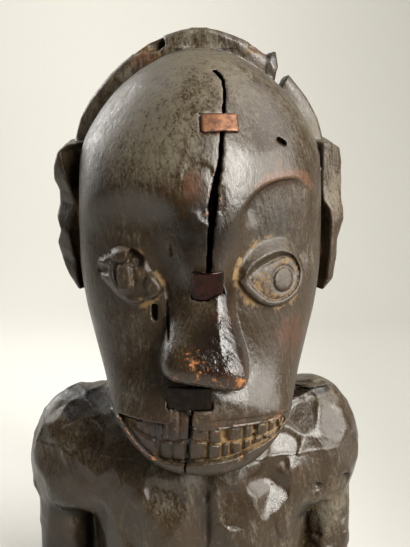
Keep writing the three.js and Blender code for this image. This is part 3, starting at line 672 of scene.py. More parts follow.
def mouth_relief(x, z):
    """The sunk mouth with its teeth, under the lip's edge and inside the jaw's rim."""
    inside = -mouth_distance(x, z)
    lip = reads([p for p in LIP_LINE if p[1] < 95], x)
    wall = smooth(0, 0.8, inside)
    teeth = tooth_relief(x, z) * smooth(0.1, 1.2, inside)
    sunk = np.where(inside > 0, teeth - MOUTH_DEPTH * wall, 0)
    edge = reads(BEVEL_TOP, x) + 0.35 * noise(x, 0 * x, 0 * x, 1.1, seed=2)
    right = smooth(-4.6, -3.8, x) * (inside < 0) * (z > lip - 1)
    bevel = -(1.0 * smooth(edge + 0.35, edge - 0.35, z) + 0.6 * smooth(lip + 1.3, lip, z)) * right
    bead = 0.3 * bell(z - lip - 0.7, 0.6) * smooth(-11.9, -12.5, x) * (inside < 0)
    rim = 0.35 * bell(inside + 0.5, 1) * smooth(lip - 1, lip - 4, z) * smooth(-14, -19, x)
    tip = 0.8 * smooth(0, 0.7, hill(x, z, (-19.2, 76.4), 1.3, 1.6))
    orange = -0.7 * smooth(0, 0.5, hill(x, z, (15.2, 76.6), 1.5, 2.4, tilt=0.5))
    return sunk + bevel + bead + rim + tip + orange


def brow_relief(x, z):
    """Worn edges and small dents of the forehead and the brow."""
    dip = -0.8 * hill(x, z, (-30, 205), 20, 14) - 0.8 * hill(x, z, (22, 206), 16, 12)
    bridge = 0.5 * pillow(x, z, (-3, 176), 8, 15, edge=1.0)
    nick = -3.0 * smooth(0, 0.35, hill(x, z, (30.2, 197.0), 2.3, 0.95, tilt=-0.55))
    relief = dip + bridge
    ragged = 0.35 * rough(x, 0 * x, z, 5.0, seed=1)
    for at, half, height, tilt, power, edge, depth in BROW_FLAKES:
        relief = relief - depth * smooth(0, edge, ellipse(x, z, at, half, height, tilt, power) + ragged)
    return relief + nick


def slots_relief(x, z):
    """Small splits and holes beside the nose and under the left eye."""
    half = 1.0 + 0.05 * (z - 132.6)
    slot = -5 * smooth(0, 0.3, hill(x, z, (-18.5, 132.6), half, 3.2, tilt=0.06, power=3))
    crease = -1.3 * smooth(0, 0.6, hill(x, z, (-13.2, 131), 0.55, 8.5, tilt=0.06))
    crease = crease - 1.2 * smooth(0, 0.6, hill(x, z, (-12.2, 158.2), 0.5, 2.9, tilt=0.15))
    return slot + crease


def face_relief(x, z):
    relief = right_eye_relief(x, z) + left_eye_relief(x, z) + mouth_relief(x, z)
    return relief + brow_relief(x, z) + slots_relief(x, z)


face_detail = FrontMap(face_relief, (-56, 56), (62, 222), 0.3)


def crack_line(table, x, z, seed):
    """Distance in the front view to the drying crack's sides, negative in it."""
    heights, middle, half = np.array(table).T
    centre = np.interp(z, heights, middle)
    width = np.interp(z, heights, half)
    wander = 0.35 * noise(0 * z, 0 * z, z, 4.0, seed) + 0.2 * noise(0 * z, 0 * z, z, 1.6, seed + 1)
    uneven = 0.3 * noise(np.sign(x - centre), 0 * z, z, 2.2, seed + 2)
    sides = np.abs(x - centre - wander) - width - uneven * np.minimum(1, width)
    ends = np.maximum(heights[0] - z, z - heights[-1])
    return np.maximum(sides, ends)


def crack_form(x, y, z, head):
    """The drying crack, as deep as CRACK_DEPTH, negative inside it."""
    upper = crack_line(UPPER_CRACK, x, z, 1)
    lower = crack_line(LOWER_CRACK, x, z, 3)
    upper = np.where(y < 0, upper, 9.0)
    lower = np.where(y < -34, lower, 9.0)
    narrow = 0.06 * np.maximum(0, -head)
    return np.maximum(np.minimum(upper, lower) + narrow, -head - CRACK_DEPTH)


def hair_form(x, y, z):
    cap = oval(x, y, z, hair_side, level(HAIR["mid"]), level(2), hair_back)
    cap = np.maximum(cap, z - HAIR["top"])
    cap = keep(cap, HAIR["nape"] - z, 2.0)
    angle = np.arctan2(y - HAIR["mid"], x)
    wave = np.abs(np.sin(angle * PLAITS["count"])) ** 0.6
    fade = smooth(HAIR["mid"] + 8, HAIR["mid"] + 18, y)
    cap = cap + PLAITS["groove"] * (1 - wave) * fade
    front = HAIR["rim"] - y + 0.8 * noise(x, y, z, 14, 3)
    cap = keep(cap, front, 2.6)
    for k, one in enumerate(HAIR_BREAKS):
        turn = math.radians(one["turn"])
        across = x * math.cos(turn) - (z - HEAD_MIDDLE_Z) * math.sin(turn)
        out = x * math.sin(turn) + (z - HEAD_MIDDLE_Z) * math.cos(turn)
        ragged = 1.3 * rough(x, y, z, 5.0, seed=k)
        notch = np.maximum(y - one["back"], one["floor"] - out)
        notch = np.maximum(np.abs(across) - one["width"] / 2, notch)
        cap = keep(cap, -(notch + ragged), 0.8)
    across = (x - STUMP["x"] - 0.15 * (z - STUMP["z"])) / STUMP["half"]
    along = (y - (STUMP["front"] + STUMP["back"]) / 2) / (STUMP["back"] - STUMP["front"]) * 2
    rise = (z - STUMP["z"]) / STUMP["rise"]
    knob = ((across**4 + along**4 + rise**4) ** 0.25 - 1) * STUMP["half"]
    knob = knob + 0.5 * rough(x, y, z, 4.0, seed=3)
    return join(cap, knob, 1.2)


def lock_form(x, y, z, table):
    """A side lock: a fin with a wavy ridge in front and a groove towards the head."""
    heights, outer, ridge = np.array(table).T
    side = np.abs(x)
    ends = np.maximum(heights[0] - z, z - heights[-1])
    outline = np.maximum(side - np.interp(z, heights, outer), ends)
    from_ridge = side - np.interp(z, heights, ridge)
    front = LOCK["ridge_y"] + np.where(
        from_ridge > 0, LOCK["outer_slope"] * from_ridge, -LOCK["inner_slope"] * from_ridge
    )
    front = np.minimum(front, LOCK["groove_y"])
    form = keep(outline * 0.9, (front - y) * 0.62, 1.0)
    form = keep(form, y - LOCK["back_y"], 3.0)
    return np.maximum(form, LOCK["inner_x"] - side)


def post(x, y, z, at_x, at_y, half, depth):
    """An upright oval post as high as an arm, a little thicker half-way up."""
    swell = 1 + 0.02 * np.sin(np.clip(z / ARM["top"], 0, 1) * math.pi)
    flat = np.sqrt(((x - at_x) / (half * swell)) ** 2 + ((y - at_y) / (depth * swell)) ** 2)
    return keep((flat - 1) * min(half, depth), z - ARM["top"], 3.0)


def shoulder_form(x, y, z, one):
    """A round shoulder cap with a nearly flat ledge under it, which drops towards the body."""
    across = x - one["x"]
    rise = z - one["z"]
    rise = rise - np.where(rise < 0, one["lean"] * (rise / one["down"]) ** 2, 0) * across
    flat = np.sqrt((across / one["half"]) ** 2 + ((y - SHOULDER_Y) / SHOULDER_DEPTH) ** 2)
    upper = np.sqrt(flat**2 + (rise / one["up"]) ** 2)
    lower = (flat**LEDGE_POWER + np.abs(rise / one["down"]) ** LEDGE_POWER) ** (1 / LEDGE_POWER)
    return (np.where(rise > 0, upper, lower) - 1) * one["down"]


chest_curves = [Curve(CHEST_SIDE), level(0), Curve(CHEST_FRONT), Curve(CHEST_BACK)]
yoke_curves = [Curve(YOKE_SIDE), level(0), Curve(YOKE_FRONT), Curve(YOKE_BACK)]


def round_body(x, y, z):
    chest = oval(x, y, z, *chest_curves, power=BODY_POWER)
    chest = np.maximum(chest, z - CHEST_SIDE[-1][0])
    chest = chest + BREASTBONE["depth"] * bell(x, BREASTBONE["width"]) * smooth(0, -10, y)
    for at, radius, rise in BREASTS:
        squared = (x - at[0]) ** 2 + (y - at[1]) ** 2 + (z - at[2]) ** 2
        chest = chest - rise * np.exp(-squared / (0.55 * radius * radius))
    yoke = oval(x, y, z, *yoke_curves, power=BODY_POWER)
    yoke = keep(yoke, YOKE_SIDE[0][0] - z, 2.0)
    yoke = np.maximum(yoke, z - YOKE_SIDE[-1][0])
    body = join(chest, yoke, 5.0)
    for one in SHOULDERS:
        body = join(body, shoulder_form(x, y, z, one), 4.0)
    for arm_x, half in ARMS:
        arm = post(x, y, z, arm_x, ARM["y"], half, ARM["depth"])
        web = post(x, y, z, math.copysign(WEB["x"], arm_x), WEB["y"], WEB["half"], WEB["depth"])
        body = join(body, join(arm, web, 2.0), 1.6)
    neck = np.hypot(x, y - NECK["mid"]) - NECK["half"]
    neck = np.maximum(neck, np.maximum(NECK["low"] - z, z - NECK["top"]))
    return join(body, neck, 6.0)


def facet_plane(at, turn, rise, depth):
    """Where a flat cut lies on the round body, the way it faces, and its plane's offset."""
    spot = np.array(at, np.float64)
    for _ in range(5):
        around = np.concatenate([spot + np.eye(3) * 0.5, spot - np.eye(3) * 0.5, [spot]])
        values = round_body(*around.astype(np.float32).T).astype(np.float64)
        slope = values[:3] - values[3:6]
        spot = spot - values[6] * slope / (slope @ slope)
    out = slope / np.linalg.norm(slope)
    turn = math.atan2(out[0], -out[1]) + math.radians(turn)
    rise = math.asin(out[2]) + math.radians(rise)
    out = np.array([math.sin(turn) * math.cos(rise), -math.cos(turn) * math.cos(rise), math.sin(rise)])
    return spot, out, depth - out @ spot


facet_planes = [(*facet_plane(*one[:4]), one[4]) for one in FACETS]


def cut_facets(body, x, y, z):
    uneven = 1 + 0.5 * noise(x, y, z, 7.0, 2)
    for at, out, offset, reach in facet_planes:
        away = np.sqrt((x - at[0]) ** 2 + (y - at[1]) ** 2 + (0.8 * (z - at[2])) ** 2) * uneven
        cut = out[0] * x + out[1] * y + out[2] * z + offset - 0.8 * np.maximum(0, away - reach)
        body = keep(body, cut.astype(np.float32), 0.7)
    return body


def carving(x, y, z):
    """Roughly the distance to the whole carving's surface, negative in the wood."""
    body = round_body(x, y, z)
    # The adze's scoops and flat cuts on the body.
    scoops = gouges(x, y, z, (12.0, 12.0, 15.0), seed=1)
    body = cut_facets(body + 1.4 * np.minimum(scoops, 0.65) - 0.6, x, y, z)
    body = body + 0.2 * rough(x, y, z, 8.0, seed=2)
    # The groove down the breastbone.
    body = body + 1.3 * bell(x - 1.5, 1.7) * smooth(-10, -20, y) * smooth(62, 52, z)
    # The crumbled crust in front of the right arm's foot.
    crust = smooth(30, 22, z) * smooth(44, 49, x) * smooth(10, 0, y)
    holes = smooth(0.15, 0.6, rough(x, y, z, 4.5, seed=3))
    body = body + crust * (1.6 * holes - 0.5 * noise(x, y, z, 3.0, 4))
    head = head_form(x, y, z)
    face = face_form(x, y, z)
    ahead = smooth(-2, -14, y - widest(z))
    face = face - face_detail(x, z) * ahead
    face = face + 0.22 * noise(x, y, z, 24.0, seed=5)
    # The nose's lumpy skin, stronger on its right side.
    lumpy = smooth(-58, -62, y) * smooth(150, 138, z) * smooth(107, 110, z)
    lumpy = lumpy * mix(0.5, 1.0, smooth(0, 4, x - nose_ridge(z)))
    face = face - 0.34 * lumpy * rough(x, y, 0.8 * z - 0.4 * x, 2.6, seed=4)
    hair = hair_form(x, y, z)
    hair = hair + 0.35 * gouges(x, y, z, (7.0, 7.0, 14.0), seed=2) - 0.15
    whole = join(face, hair, 1.6)
    locks = np.where(x < 0, lock_form(x, y, z, LEFT_LOCK), lock_form(x, y, z, RIGHT_LOCK))
    whole = join(whole, locks + 0.25 * rough(x, y, z, 5.0, seed=1), 0.8)
    whole = join(whole, body, 2.5)
    whole = np.maximum(whole, -crack_form(x, y, z, head))
    for one in STRAPS:
        whole = np.maximum(whole, -strap_form(x, y, z, one, 0.3))
    return np.maximum(whole, -z)


def places_along(steps):
    """Places along an axis, as close together as its steps say."""
    places = [steps[0][0]]
    while places[-1] < steps[-1][0]:
        places.append(places[-1] + COARSER * float(np.interp(places[-1], *np.array(steps).T)))
    return np.array(places)


def in_parts(function, points, size=60000):
    """A function of many points, worked out in parts side by side."""
    parts = np.array_split(points.astype(np.float32), 1 + len(points) // size)
    with ThreadPoolExecutor(4) as pool:
        return np.concatenate(list(pool.map(lambda part: function(*part.T), parts)))


def sample(function, axes):
    """Values of a distance function on a grid, worked out near its surface only."""
    shape = tuple(len(axis) for axis in axes)
    values = np.full(shape, 1.0, np.float32)

    def steps(*ranges):
        return np.stack(np.meshgrid(*ranges, indexing="ij"), -1).reshape(-1, 3)

    def places(index):
        return np.stack([axis[np.minimum(index[:, k], len(axis) - 1)] for k, axis in enumerate(axes)], 1)

    cells = steps(*[np.arange(0, n, BLOCK) for n in shape])
    first, last = places(cells), places(cells + BLOCK - 1)
    middle = in_parts(function, (first + last) / 2)
    reach = np.linalg.norm(last - first, axis=1) / 2 * REACH_SHARE + REACH_MARGIN
    for i, j, k in cells[middle < -reach]:
        values[i:i + BLOCK, j:j + BLOCK, k:k + BLOCK] = -1.0
    near = cells[np.abs(middle) <= reach]
    index = (near[:, None] + steps(*[np.arange(BLOCK)] * 3)).reshape(-1, 3)
    index = index[(index < shape).all(axis=1)]
    values[tuple(index.T)] = in_parts(function, places(index))
    return values


def surface_net(values, axes):
    """A closed quad mesh through the zeros of a grid of values."""
    inside = values < 0
    corners = list(np.ndindex(2, 2, 2))
    shape = np.array(values.shape) - 1

    def corner(array, step):
        return array[tuple(slice(s, s + n) for s, n in zip(step, shape))]

    count = np.zeros(shape, np.uint8)
    for step in corners:
        count += corner(inside, step)
    cells = np.argwhere((count > 0) & (count < 8))
    total = np.zeros((len(cells), 3))
    crossings = np.zeros(len(cells))
    at = {step: values[tuple((cells + step).T)] for step in corners}
    for a in corners:
        for axis in range(3):
            if a[axis]:
                continue
            b = tuple(1 if k == axis else a[k] for k in range(3))
            crosses = (at[a] < 0) != (at[b] < 0)
            share = np.where(crosses, at[a] / np.where(crosses, at[a] - at[b], 1), 0)
            point = np.array(a, float) + share[:, None] * (np.array(b) - np.array(a))
            total += point * crosses[:, None]
            crossings += crosses
    found = cells + total / crossings[:, None]
    vertices = [np.interp(found[:, k], np.arange(len(axis)), axis) for k, axis in enumerate(axes)]
    number = np.full(shape, -1, np.int32)
    number[tuple(cells.T)] = np.arange(len(cells))
    quads = []
    for axis in range(3):
        u, v = (axis + 1) % 3, (axis + 2) % 3
        first = [slice(1, n) for n in shape]
        second = list(first)
        first[axis] = slice(0, shape[axis])
        second[axis] = slice(1, shape[axis] + 1)
        a, b = inside[tuple(first)], inside[tuple(second)]
        edges = np.argwhere(a != b)
        flip = a[tuple(edges.T)]
        origin = edges + [1, 1, 1]
        origin[:, axis] -= 1
        ring = []
        for du, dv in ((1, 1), (0, 1), (0, 0), (1, 0)):
            place = origin.copy()
            place[:, u] -= du
            place[:, v] -= dv
            ring.append(number[tuple(place.T)])
        ring = np.stack(ring, axis=1)
        ring[~flip] = ring[~flip][:, ::-1]
        quads.append(ring)
    return np.stack(vertices, axis=1), np.concatenate(quads)


def mesh_from(name, vertices, faces):
    """A smooth mesh from arrays of vertices, in metres, and of faces with equal corner counts."""
    mesh = bpy.data.meshes.new(name)
    mesh.vertices.add(len(vertices))
    mesh.vertices.foreach_set("co", vertices.astype(np.float32).ravel())
    mesh.loops.add(faces.size)
    mesh.loops.foreach_set("vertex_index", faces.astype(np.int32).ravel())
    mesh.polygons.add(len(faces))
    mesh.polygons.foreach_set("loop_start", np.arange(0, faces.size, faces.shape[1], dtype=np.int32))
    mesh.update(calc_edges=True)
    mesh.polygons.foreach_set("use_smooth", np.ones(len(faces), bool))
    return mesh


def add_mask(mesh, name, values):
    attribute = mesh.attributes.new(name, "FLOAT", "POINT")
    attribute.data.foreach_set("value", np.clip(values, 0, 1).astype(np.float32))


def placed(name, data):
    """A new object in the scene."""
    made = bpy.data.objects.new(name, data)
    bpy.context.scene.collection.objects.link(made)
    return made


def largest_part(vertices, quads):
    """The biggest connected part of a mesh, without the stray bits that lie apart from it."""
    label = np.arange(len(vertices))
    ends = np.concatenate([quads[:, :2], quads[:, 1:3], quads[:, 2:]]).T
    while True:
        a, b = label[ends]
        apart = a != b
        if not apart.any():
            break
        np.minimum.at(label, np.maximum(a, b)[apart], np.minimum(a, b)[apart])
        while (label[label] != label).any():
            label = label[label]
    kept = label == np.bincount(label).argmax()
    number = np.cumsum(kept) - 1
    return vertices[kept], number[quads[kept[quads[:, 0]]]]


def make_bust():
    axes = [places_along(steps) for steps in (STEPS_X, STEPS_Y, STEPS_Z)]
    vertices, quads = largest_part(*surface_net(sample(carving, axes), axes))
    vertices[:, 2] = np.maximum(vertices[:, 2], 0)
    return placed("wooden_bust", mesh_from("wooden_bust", vertices * MM, quads))


def thin_out(piece, triangles):
    """Reduces a mesh to about so many triangles, with the modifier applied."""
    count = sum(len(p.vertices) - 2 for p in piece.data.polygons)
    if count > triangles:
        piece.modifiers.new("thin", "DECIMATE").ratio = triangles / count
        graph = bpy.context.evaluated_depsgraph_get()
        thinner = bpy.data.meshes.new_from_object(piece.evaluated_get(graph))
        piece.modifiers.clear()
        piece.data = thinner


def connect(tree, value, socket):
    """Links a socket to another one, or gives it a number, a place or a colour."""
    if isinstance(value, bpy.types.NodeSocket):
        tree.links.new(value, socket)
    elif socket.type == "RGBA":
        socket.default_value = (*value, 1)
    else:
        socket.default_value = value


def node(tree, kind, settings=None, **inputs):
    """A shader node with its settings and its inputs. An input's name has _ for a space."""
    made = tree.nodes.new(kind)
    for name, value in (settings or {}).items():
        setattr(made, name, value)
    for name, value in inputs.items():
        connect(tree, value, made.inputs[name.replace("_", " ")])
    return made


def mixed(tree, share, a, b):
    """A colour between two, by a share."""
    made = node(tree, "ShaderNodeMix", {"data_type": "RGBA"})
    for k, value in zip((0, 6, 7), (share, a, b)):
        connect(tree, value, made.inputs[k])
    return made.outputs[2]


def maths(tree, operation, *values, clamp=False):
    made = node(tree, "ShaderNodeMath", {"operation": operation, "use_clamp": clamp})
    for socket, value in zip(made.inputs, values):
        connect(tree, value, socket)
    return made.outputs[0]


def weighed(tree, total, *terms, clamp=False):
    """A total with each term's value, times its weight, added to it."""
    for k, (value, weight) in enumerate(terms):
        total = maths(tree, "MULTIPLY_ADD", value, weight, total, clamp=clamp and k == len(terms) - 1)
    return total


def ranged(tree, value, low, high, to_low=0.0, to_high=1.0):
    """A value spread from one range to another, eased and kept inside it."""
    return node(tree, "ShaderNodeMapRange", {"interpolation_type": "SMOOTHSTEP"}, Value=value,
                From_Min=low, From_Max=high, To_Min=to_low, To_Max=to_high).outputs[0]


def painted(tree, name):
    """A mask kept on the mesh."""
    return node(tree, "ShaderNodeAttribute", {"attribute_name": name}).outputs["Fac"]


def spots(tree, place, width, stretch=1.0, detail=4.0, roughness=0.55, turn=0.0):
    """Noise with patches as wide as width in millimetres, stretched up the grain or at a turn to it."""
    if turn:
        place = node(tree, "ShaderNodeMapping", Vector=place, Rotation=(0, turn, 0)).outputs[0]
    scaled = node(tree, "ShaderNodeMapping", Vector=place, Scale=(1, 1, 1 / stretch)).outputs[0]
    return node(tree, "ShaderNodeTexNoise", Vector=scaled, Scale=1 / (width * MM), Detail=detail,
                Roughness=roughness).outputs[0]


def new_material(name, **sockets):
    """An empty material with its shader, its shader's constants, and the place that patterns start from."""
    material = bpy.data.materials.new(name)
    material.use_nodes = True
    tree = material.node_tree
    tree.nodes.clear()
    shader = node(tree, "ShaderNodeBsdfPrincipled", **sockets)
    output = tree.nodes.new("ShaderNodeOutputMaterial")
    tree.links.new(shader.outputs[0], output.inputs[0])
    return material, tree, shader, node(tree, "ShaderNodeTexCoord").outputs["Object"]


def bumped(tree, shader, *layers):
    """Adds bumps, each a height socket and its depth in millimetres, one over another."""
    normal = {}
    for height, depth in layers:
        bump = node(tree, "ShaderNodeBump", Strength=1.0, Distance=depth * MM, Height=height, **normal)
        normal = {"Normal": bump.outputs[0]}
    tree.links.new(normal["Normal"], shader.inputs["Normal"])


# Linear colours of the wood's patina, its wear and its dirt. Some also paint light and shade: the black
# brown is mostly painted shade, the near black is painted shade deep in the crack, the ash brown is also
# painted sheen at two spots, and the wear colours also paint edge highlights.
UMBER = (0.021, 0.0128, 0.0062)
ASH_BROWN = (0.072, 0.060, 0.0405)
BLACK_BROWN = (0.006, 0.0042, 0.003)
OXBLOOD = (0.034, 0.0125, 0.0075)
CHESTNUT = (0.060, 0.026, 0.0115)
WORN_ORANGE = (0.24, 0.092, 0.028)
OCHRE_DUST = (0.155, 0.088, 0.029)
PALE_DUST = (0.120, 0.081, 0.041)
# Near black, painted shade deep in the crack.
CRACK_SHADE = (0.002, 0.0016, 0.0012)


def wood_material():
    material, tree, shader, place = new_material("patinated_wood", IOR=1.4)
    broad = spots(tree, place, 24, 1.4, detail=3)
    medium = spots(tree, place, 5, 1.5, detail=8, roughness=0.65)
    grain = spots(tree, place, 0.55, 16, detail=5, roughness=0.65)
    strokes = spots(tree, place, 1.3, 9, detail=6, roughness=0.7, turn=0.25)
    fine = spots(tree, place, 0.9, 1.4, detail=3, roughness=0.6)
    specks = spots(tree, place, 1.6, 1.0, detail=6, roughness=0.7)
    wrinkles = spots(tree, place, 2.6, 1.5, detail=2, roughness=0.5, turn=0.5)

    def ragged(name, low, high, *noises):
        """A mask from the mesh, broken up by noises round 0.5, each with its weight."""
        shift = sum(weight for _, weight in noises) / 2
        return ranged(tree, weighed(tree, painted(tree, name), *noises), low + shift, high + shift)

    # The ash film, which at two spots, on the right lock and the right arm, is painted sheen.
    film = ragged("film", 0.2, 1.0, (broad, 0.9), (medium, 1.3), (grain, 0.7), (strokes, 1.3), (fine, 1.0),
                  (specks, 0.5))
    brown = ragged("brown", 0.35, 0.95, (medium, 1.5), (broad, 0.5), (grain, 1.2))
    red = ragged("red", 0.3, 0.95, (medium, 1.5), (grain, 0.9), (fine, 0.6))
    # Mostly painted shade: darker in creases, hollows, armpits, under the nose and at the brow centre.
    dark = ragged("dark", 0.25, 0.9, (medium, 0.8), (fine, 0.5))
    worn = ragged("wear", 0.5, 0.85, (specks, 2.0), (grain, 0.7), (fine, 0.4))
    dusty = ragged("dust", 0.4, 1.05, (specks, 1.6), (medium, 0.9), (fine, 0.9))
    raw = mixed(tree, ranged(tree, specks, 0.42, 0.64), CHESTNUT, WORN_ORANGE)
    dust = mixed(tree, broad, OCHRE_DUST, PALE_DUST)
    colour = mixed(tree, film, UMBER, ASH_BROWN)
    # Laid over the patina in turn: brown, red, black brown as mostly painted shade, wear with painted edge
    # highlights, dust, and near black as painted shade deep in the crack.
    for share, strength, over in (
        (brown, 0.8, CHESTNUT), (red, 1, OXBLOOD), (dark, 0.92, BLACK_BROWN), (worn, 1, raw),
        (dusty, 1, dust), (painted(tree, "crack_shade"), 1, CRACK_SHADE),
    ):
        colour = mixed(tree, weighed(tree, 0, (share, strength)), colour, over)
    connect(tree, colour, shader.inputs["Base Color"])
    uneven = weighed(
        tree, -0.19, (medium, 0.3), (strokes, 0.5), (fine, 0.3), (painted(tree, "matte"), 0.2),
        (painted(tree, "gloss"), -0.22), (film, 0.13), (dusty, 0.5), clamp=True,
    )
    connect(tree, uneven, shader.inputs["Roughness"])
    crust = weighed(tree, 0, (wrinkles, painted(tree, "crust")))
    bumped(tree, shader, (grain, 0.04), (strokes, 0.10), (medium, 0.22), (wrinkles, 0.13), (fine, 0.06),
           (crust, 0.75))
    return material


def metal_material(one):
    """Old hand-cut metal: mottled, dented a little, darker in patches and at its rim."""
    name = one["name"] + "_metal"
    material, tree, shader, place = new_material(name, Metallic=one["metal"], IOR=one["ior"])
    blotches = spots(tree, place, 3.2, detail=6)
    grit = spots(tree, place, 0.5, detail=3)
    dents = spots(tree, place, 4.5, detail=2)
    share = ranged(tree, weighed(tree, blotches, (grit, 0.6)), 0.64, 0.98)
    share = weighed(tree, share, (painted(tree, "rim"), 0.8), clamp=True)
    uneven = ranged(tree, blotches, 0.3, 0.7, one["rough"] - 0.08, one["rough"] + 0.14)
    connect(tree, mixed(tree, share, one["bright"], one["dark"]), shader.inputs["Base Color"])
    connect(tree, uneven, shader.inputs["Roughness"])
    bumped(tree, shader, (dents, 0.25), (grit, 0.03))
    return material


# The camera at the photograph's viewing angle: where it looks, from how far, how high and how much
# from the left, with its lens for a 36 mm film.
CAMERA_AIM = (0.9, -45.0, 148.0)
CAMERA_DISTANCE = 430.0
CAMERA_RISE = math.radians(12.0)
CAMERA_TURN = math.radians(-1.5)
CAMERA_LENS = 74.43


def add_camera():
    flat = math.cos(CAMERA_RISE)
    back = Vector((math.sin(CAMERA_TURN) * flat, -math.cos(CAMERA_TURN) * flat, math.sin(CAMERA_RISE)))
    data = bpy.data.cameras.new("camera")
    data.lens = CAMERA_LENS
    data.sensor_width = 36
    data.clip_start = 0.02
    camera = placed("camera", data)
    camera.location = (Vector(CAMERA_AIM) + back * CAMERA_DISTANCE) * MM
    camera.rotation_euler = (-back).to_track_quat("-Z", "Y").to_euler()
    bpy.context.scene.camera = camera


# Soft lights: where each stands, what it faces, its width and height, its power, its colour and how
# far it spreads.
LIGHTS = [
    ("window", (528, -720, 665), (0, -45, 150), (400, 680), 29, (1, 0.98, 0.915), 180),
    ("side_window", (898, -236, 396), (0, -45, 130), (650, 600), 12.6, (1, 0.98, 0.92), 180),
    ("room", (-760, -420, 520), (0, -20, 170), (600, 700), 0.45, (1, 0.90, 0.74), 180),
    ("skylight", (560, 80, 880), (0, -10, 160), (620, 620), 6, (1, 0.98, 0.94), 180),
    ("wall_light", (-350, 260, 700), (-120, 700, 0), (600, 300), 1.35, (1, 0.975, 0.93), 180),
    ("back_window", (-560, 520, 420), (0, 0, 150), (420, 560), 0.95, (1, 0.98, 0.95), 70),
    ("floor_light", (-330, 90, 520), (-330, 100, 0), (350, 350), 0.65, (1, 0.98, 0.95), 80),
]
ROOM_GLOW = (0.95, 0.84, 0.68)
ROOM_STRENGTH = 0.03


def add_lights():
    for name, at, aim, size, power, colour, spread in LIGHTS:
        data = bpy.data.lights.new(name, "AREA")
        data.shape = "RECTANGLE"
        data.size, data.size_y = (length * MM for length in size)
        data.energy = power
        data.color = colour
        data.spread = math.radians(spread)
        light = placed(name, data)
        light.location = Vector(at) * MM
        light.rotation_euler = (Vector(aim) - Vector(at)).to_track_quat("-Z", "Y").to_euler()
    world = bpy.data.worlds.new("room_light")
    world.use_nodes = True
    background = world.node_tree.nodes["Background"]
    background.inputs[0].default_value = (*ROOM_GLOW, 1)
    background.inputs[1].default_value = ROOM_STRENGTH
    bpy.context.scene.world = world
    bpy.context.scene.view_settings.view_transform = "Standard"


# The floor and the wall in metres: how far the floor comes forward, where the wall stands, how wide the
# bend between them is, how high the wall is, and half their width.
STAGE = {"near": -2.2, "wall": 0.95, "bend": 0.5, "height": 2.2, "half": 3.0, "steps": 16}
PLASTER = (0.56, 0.55, 0.52)
PLASTER_CLOUD = (0.52, 0.51, 0.48)
# Painted shade on the floor and wall: greyer plaster towards the window, near the figure on the window side,
# and far from the figure.
PLASTER_RIGHT = (0.30, 0.294, 0.275)
PLASTER_NEAR = (0.25, 0.245, 0.23)
PLASTER_FAR = (0.17, 0.166, 0.158)


def add_stage():
    """A pale floor curving up into a pale wall, with painted shade: greyer towards the window and far from
    the figure.
    """
    material, tree, shader, place = new_material("pale_plaster", Roughness=0.85)
    x, y, _ = node(tree, "ShaderNodeSeparateXYZ", Vector=place).outputs
    pale = mixed(tree, spots(tree, place, 260, detail=2), PLASTER, PLASTER_CLOUD)
    # Painted shade: greyer towards the window, near the figure on the window side, and far away in front and
    # to the sides.
    pale = mixed(tree, ranged(tree, x, -0.15, 0.35), pale, PLASTER_RIGHT)
    lit = weighed(tree, 0, (ranged(tree, x, -0.02, 0.14), ranged(tree, y, 0.55, 0.05)))
    pale = mixed(tree, lit, pale, PLASTER_NEAR)
    aside = maths(tree, "DIVIDE", x, 0.55)
    ahead = maths(tree, "DIVIDE", maths(tree, "MAXIMUM", maths(tree, "SUBTRACT", 0.35, y), 0.0), 0.6)
    far = ranged(tree, weighed(tree, 0, (aside, aside), (ahead, ahead)), 0.8, 2.2)
    connect(tree, mixed(tree, far, pale, PLASTER_FAR), shader.inputs["Base Color"])
    bend = STAGE["bend"]
    angles = [math.pi / 2 * k / STAGE["steps"] for k in range(STAGE["steps"] + 1)]
    profile = [(STAGE["wall"] - bend + bend * math.sin(a), bend - bend * math.cos(a)) for a in angles]
    profile = [(STAGE["near"], 0.0), *profile, (STAGE["wall"], STAGE["height"])]
    vertices = np.array([(x, y, z) for y, z in profile for x in (-STAGE["half"], STAGE["half"])])
    rows = np.arange(len(profile) - 1) * 2
    faces = np.stack([rows, rows + 1, rows + 3, rows + 2], axis=1)
    stage = placed("floor", mesh_from("floor", vertices, faces))
    stage.data.materials.append(material)


# Spots on the carving, as (x, y, z, radius, strength): where dust lies, where the patina is worn off,
# and where it is glossy, matte, red, brown, crusted, ashen or dark. Two ashen spots, on the right lock
# and the right arm, are painted sheen, and most dark spots are painted shade.
DUST = [
    (13.5, -44, 147, 3.5, 0.9), (15, -44, 140, 4, 0.8), (20, -46, 135, 4, 0.7), (27, -45, 149, 6.5, 0.75),
    (21, -46, 146, 4, 0.9), (34, -42, 136, 4, 0.55), (17, -44, 157, 4.5, 0.75), (30, -44, 161.5, 5, 0.6),
    (37, -40, 151, 4, 0.5), (39, -38, 143, 4, 0.5), (-38, -42, 146, 3.4, 0.9), (-20, -46, 145, 5, 0.95),
    (-16, -44, 152, 5, 0.7), (-26, -45, 139, 5, 0.6), (-34, -44, 156, 3.4, 0.4), (-22, -46, 158, 5, 0.5),
    (12, -58, 84, 7, 0.9), (20, -54, 84, 7, 0.95), (26, -50, 88, 7, 0.9), (8, -58, 80, 5, 0.5),
    (-27, -50, 90, 5, 0.6), (-20, -54, 90, 4, 0.5), (2, -58, 78, 5, 0.3), (-9, -59, 100, 2, 0.7),
    (2, -36, 62, 9, 0.6), (-6, -38, 54, 8, 0.45), (-20, 10, 229, 9, 0.6), (22, 10, 229, 5, 0.7),
    (-47, 6, 183, 10, 0.5), (50, -16, 38, 5, 0.9), (-49, 6, 155, 12, 0.7), (-49, 6, 168, 12, 0.6),
    (48, 6, 150, 10, 0.45), (52, -6, 38, 9, 0.5), (60, -8, 30, 7, 0.45), (50, -8, 18, 8, 0.5),
]
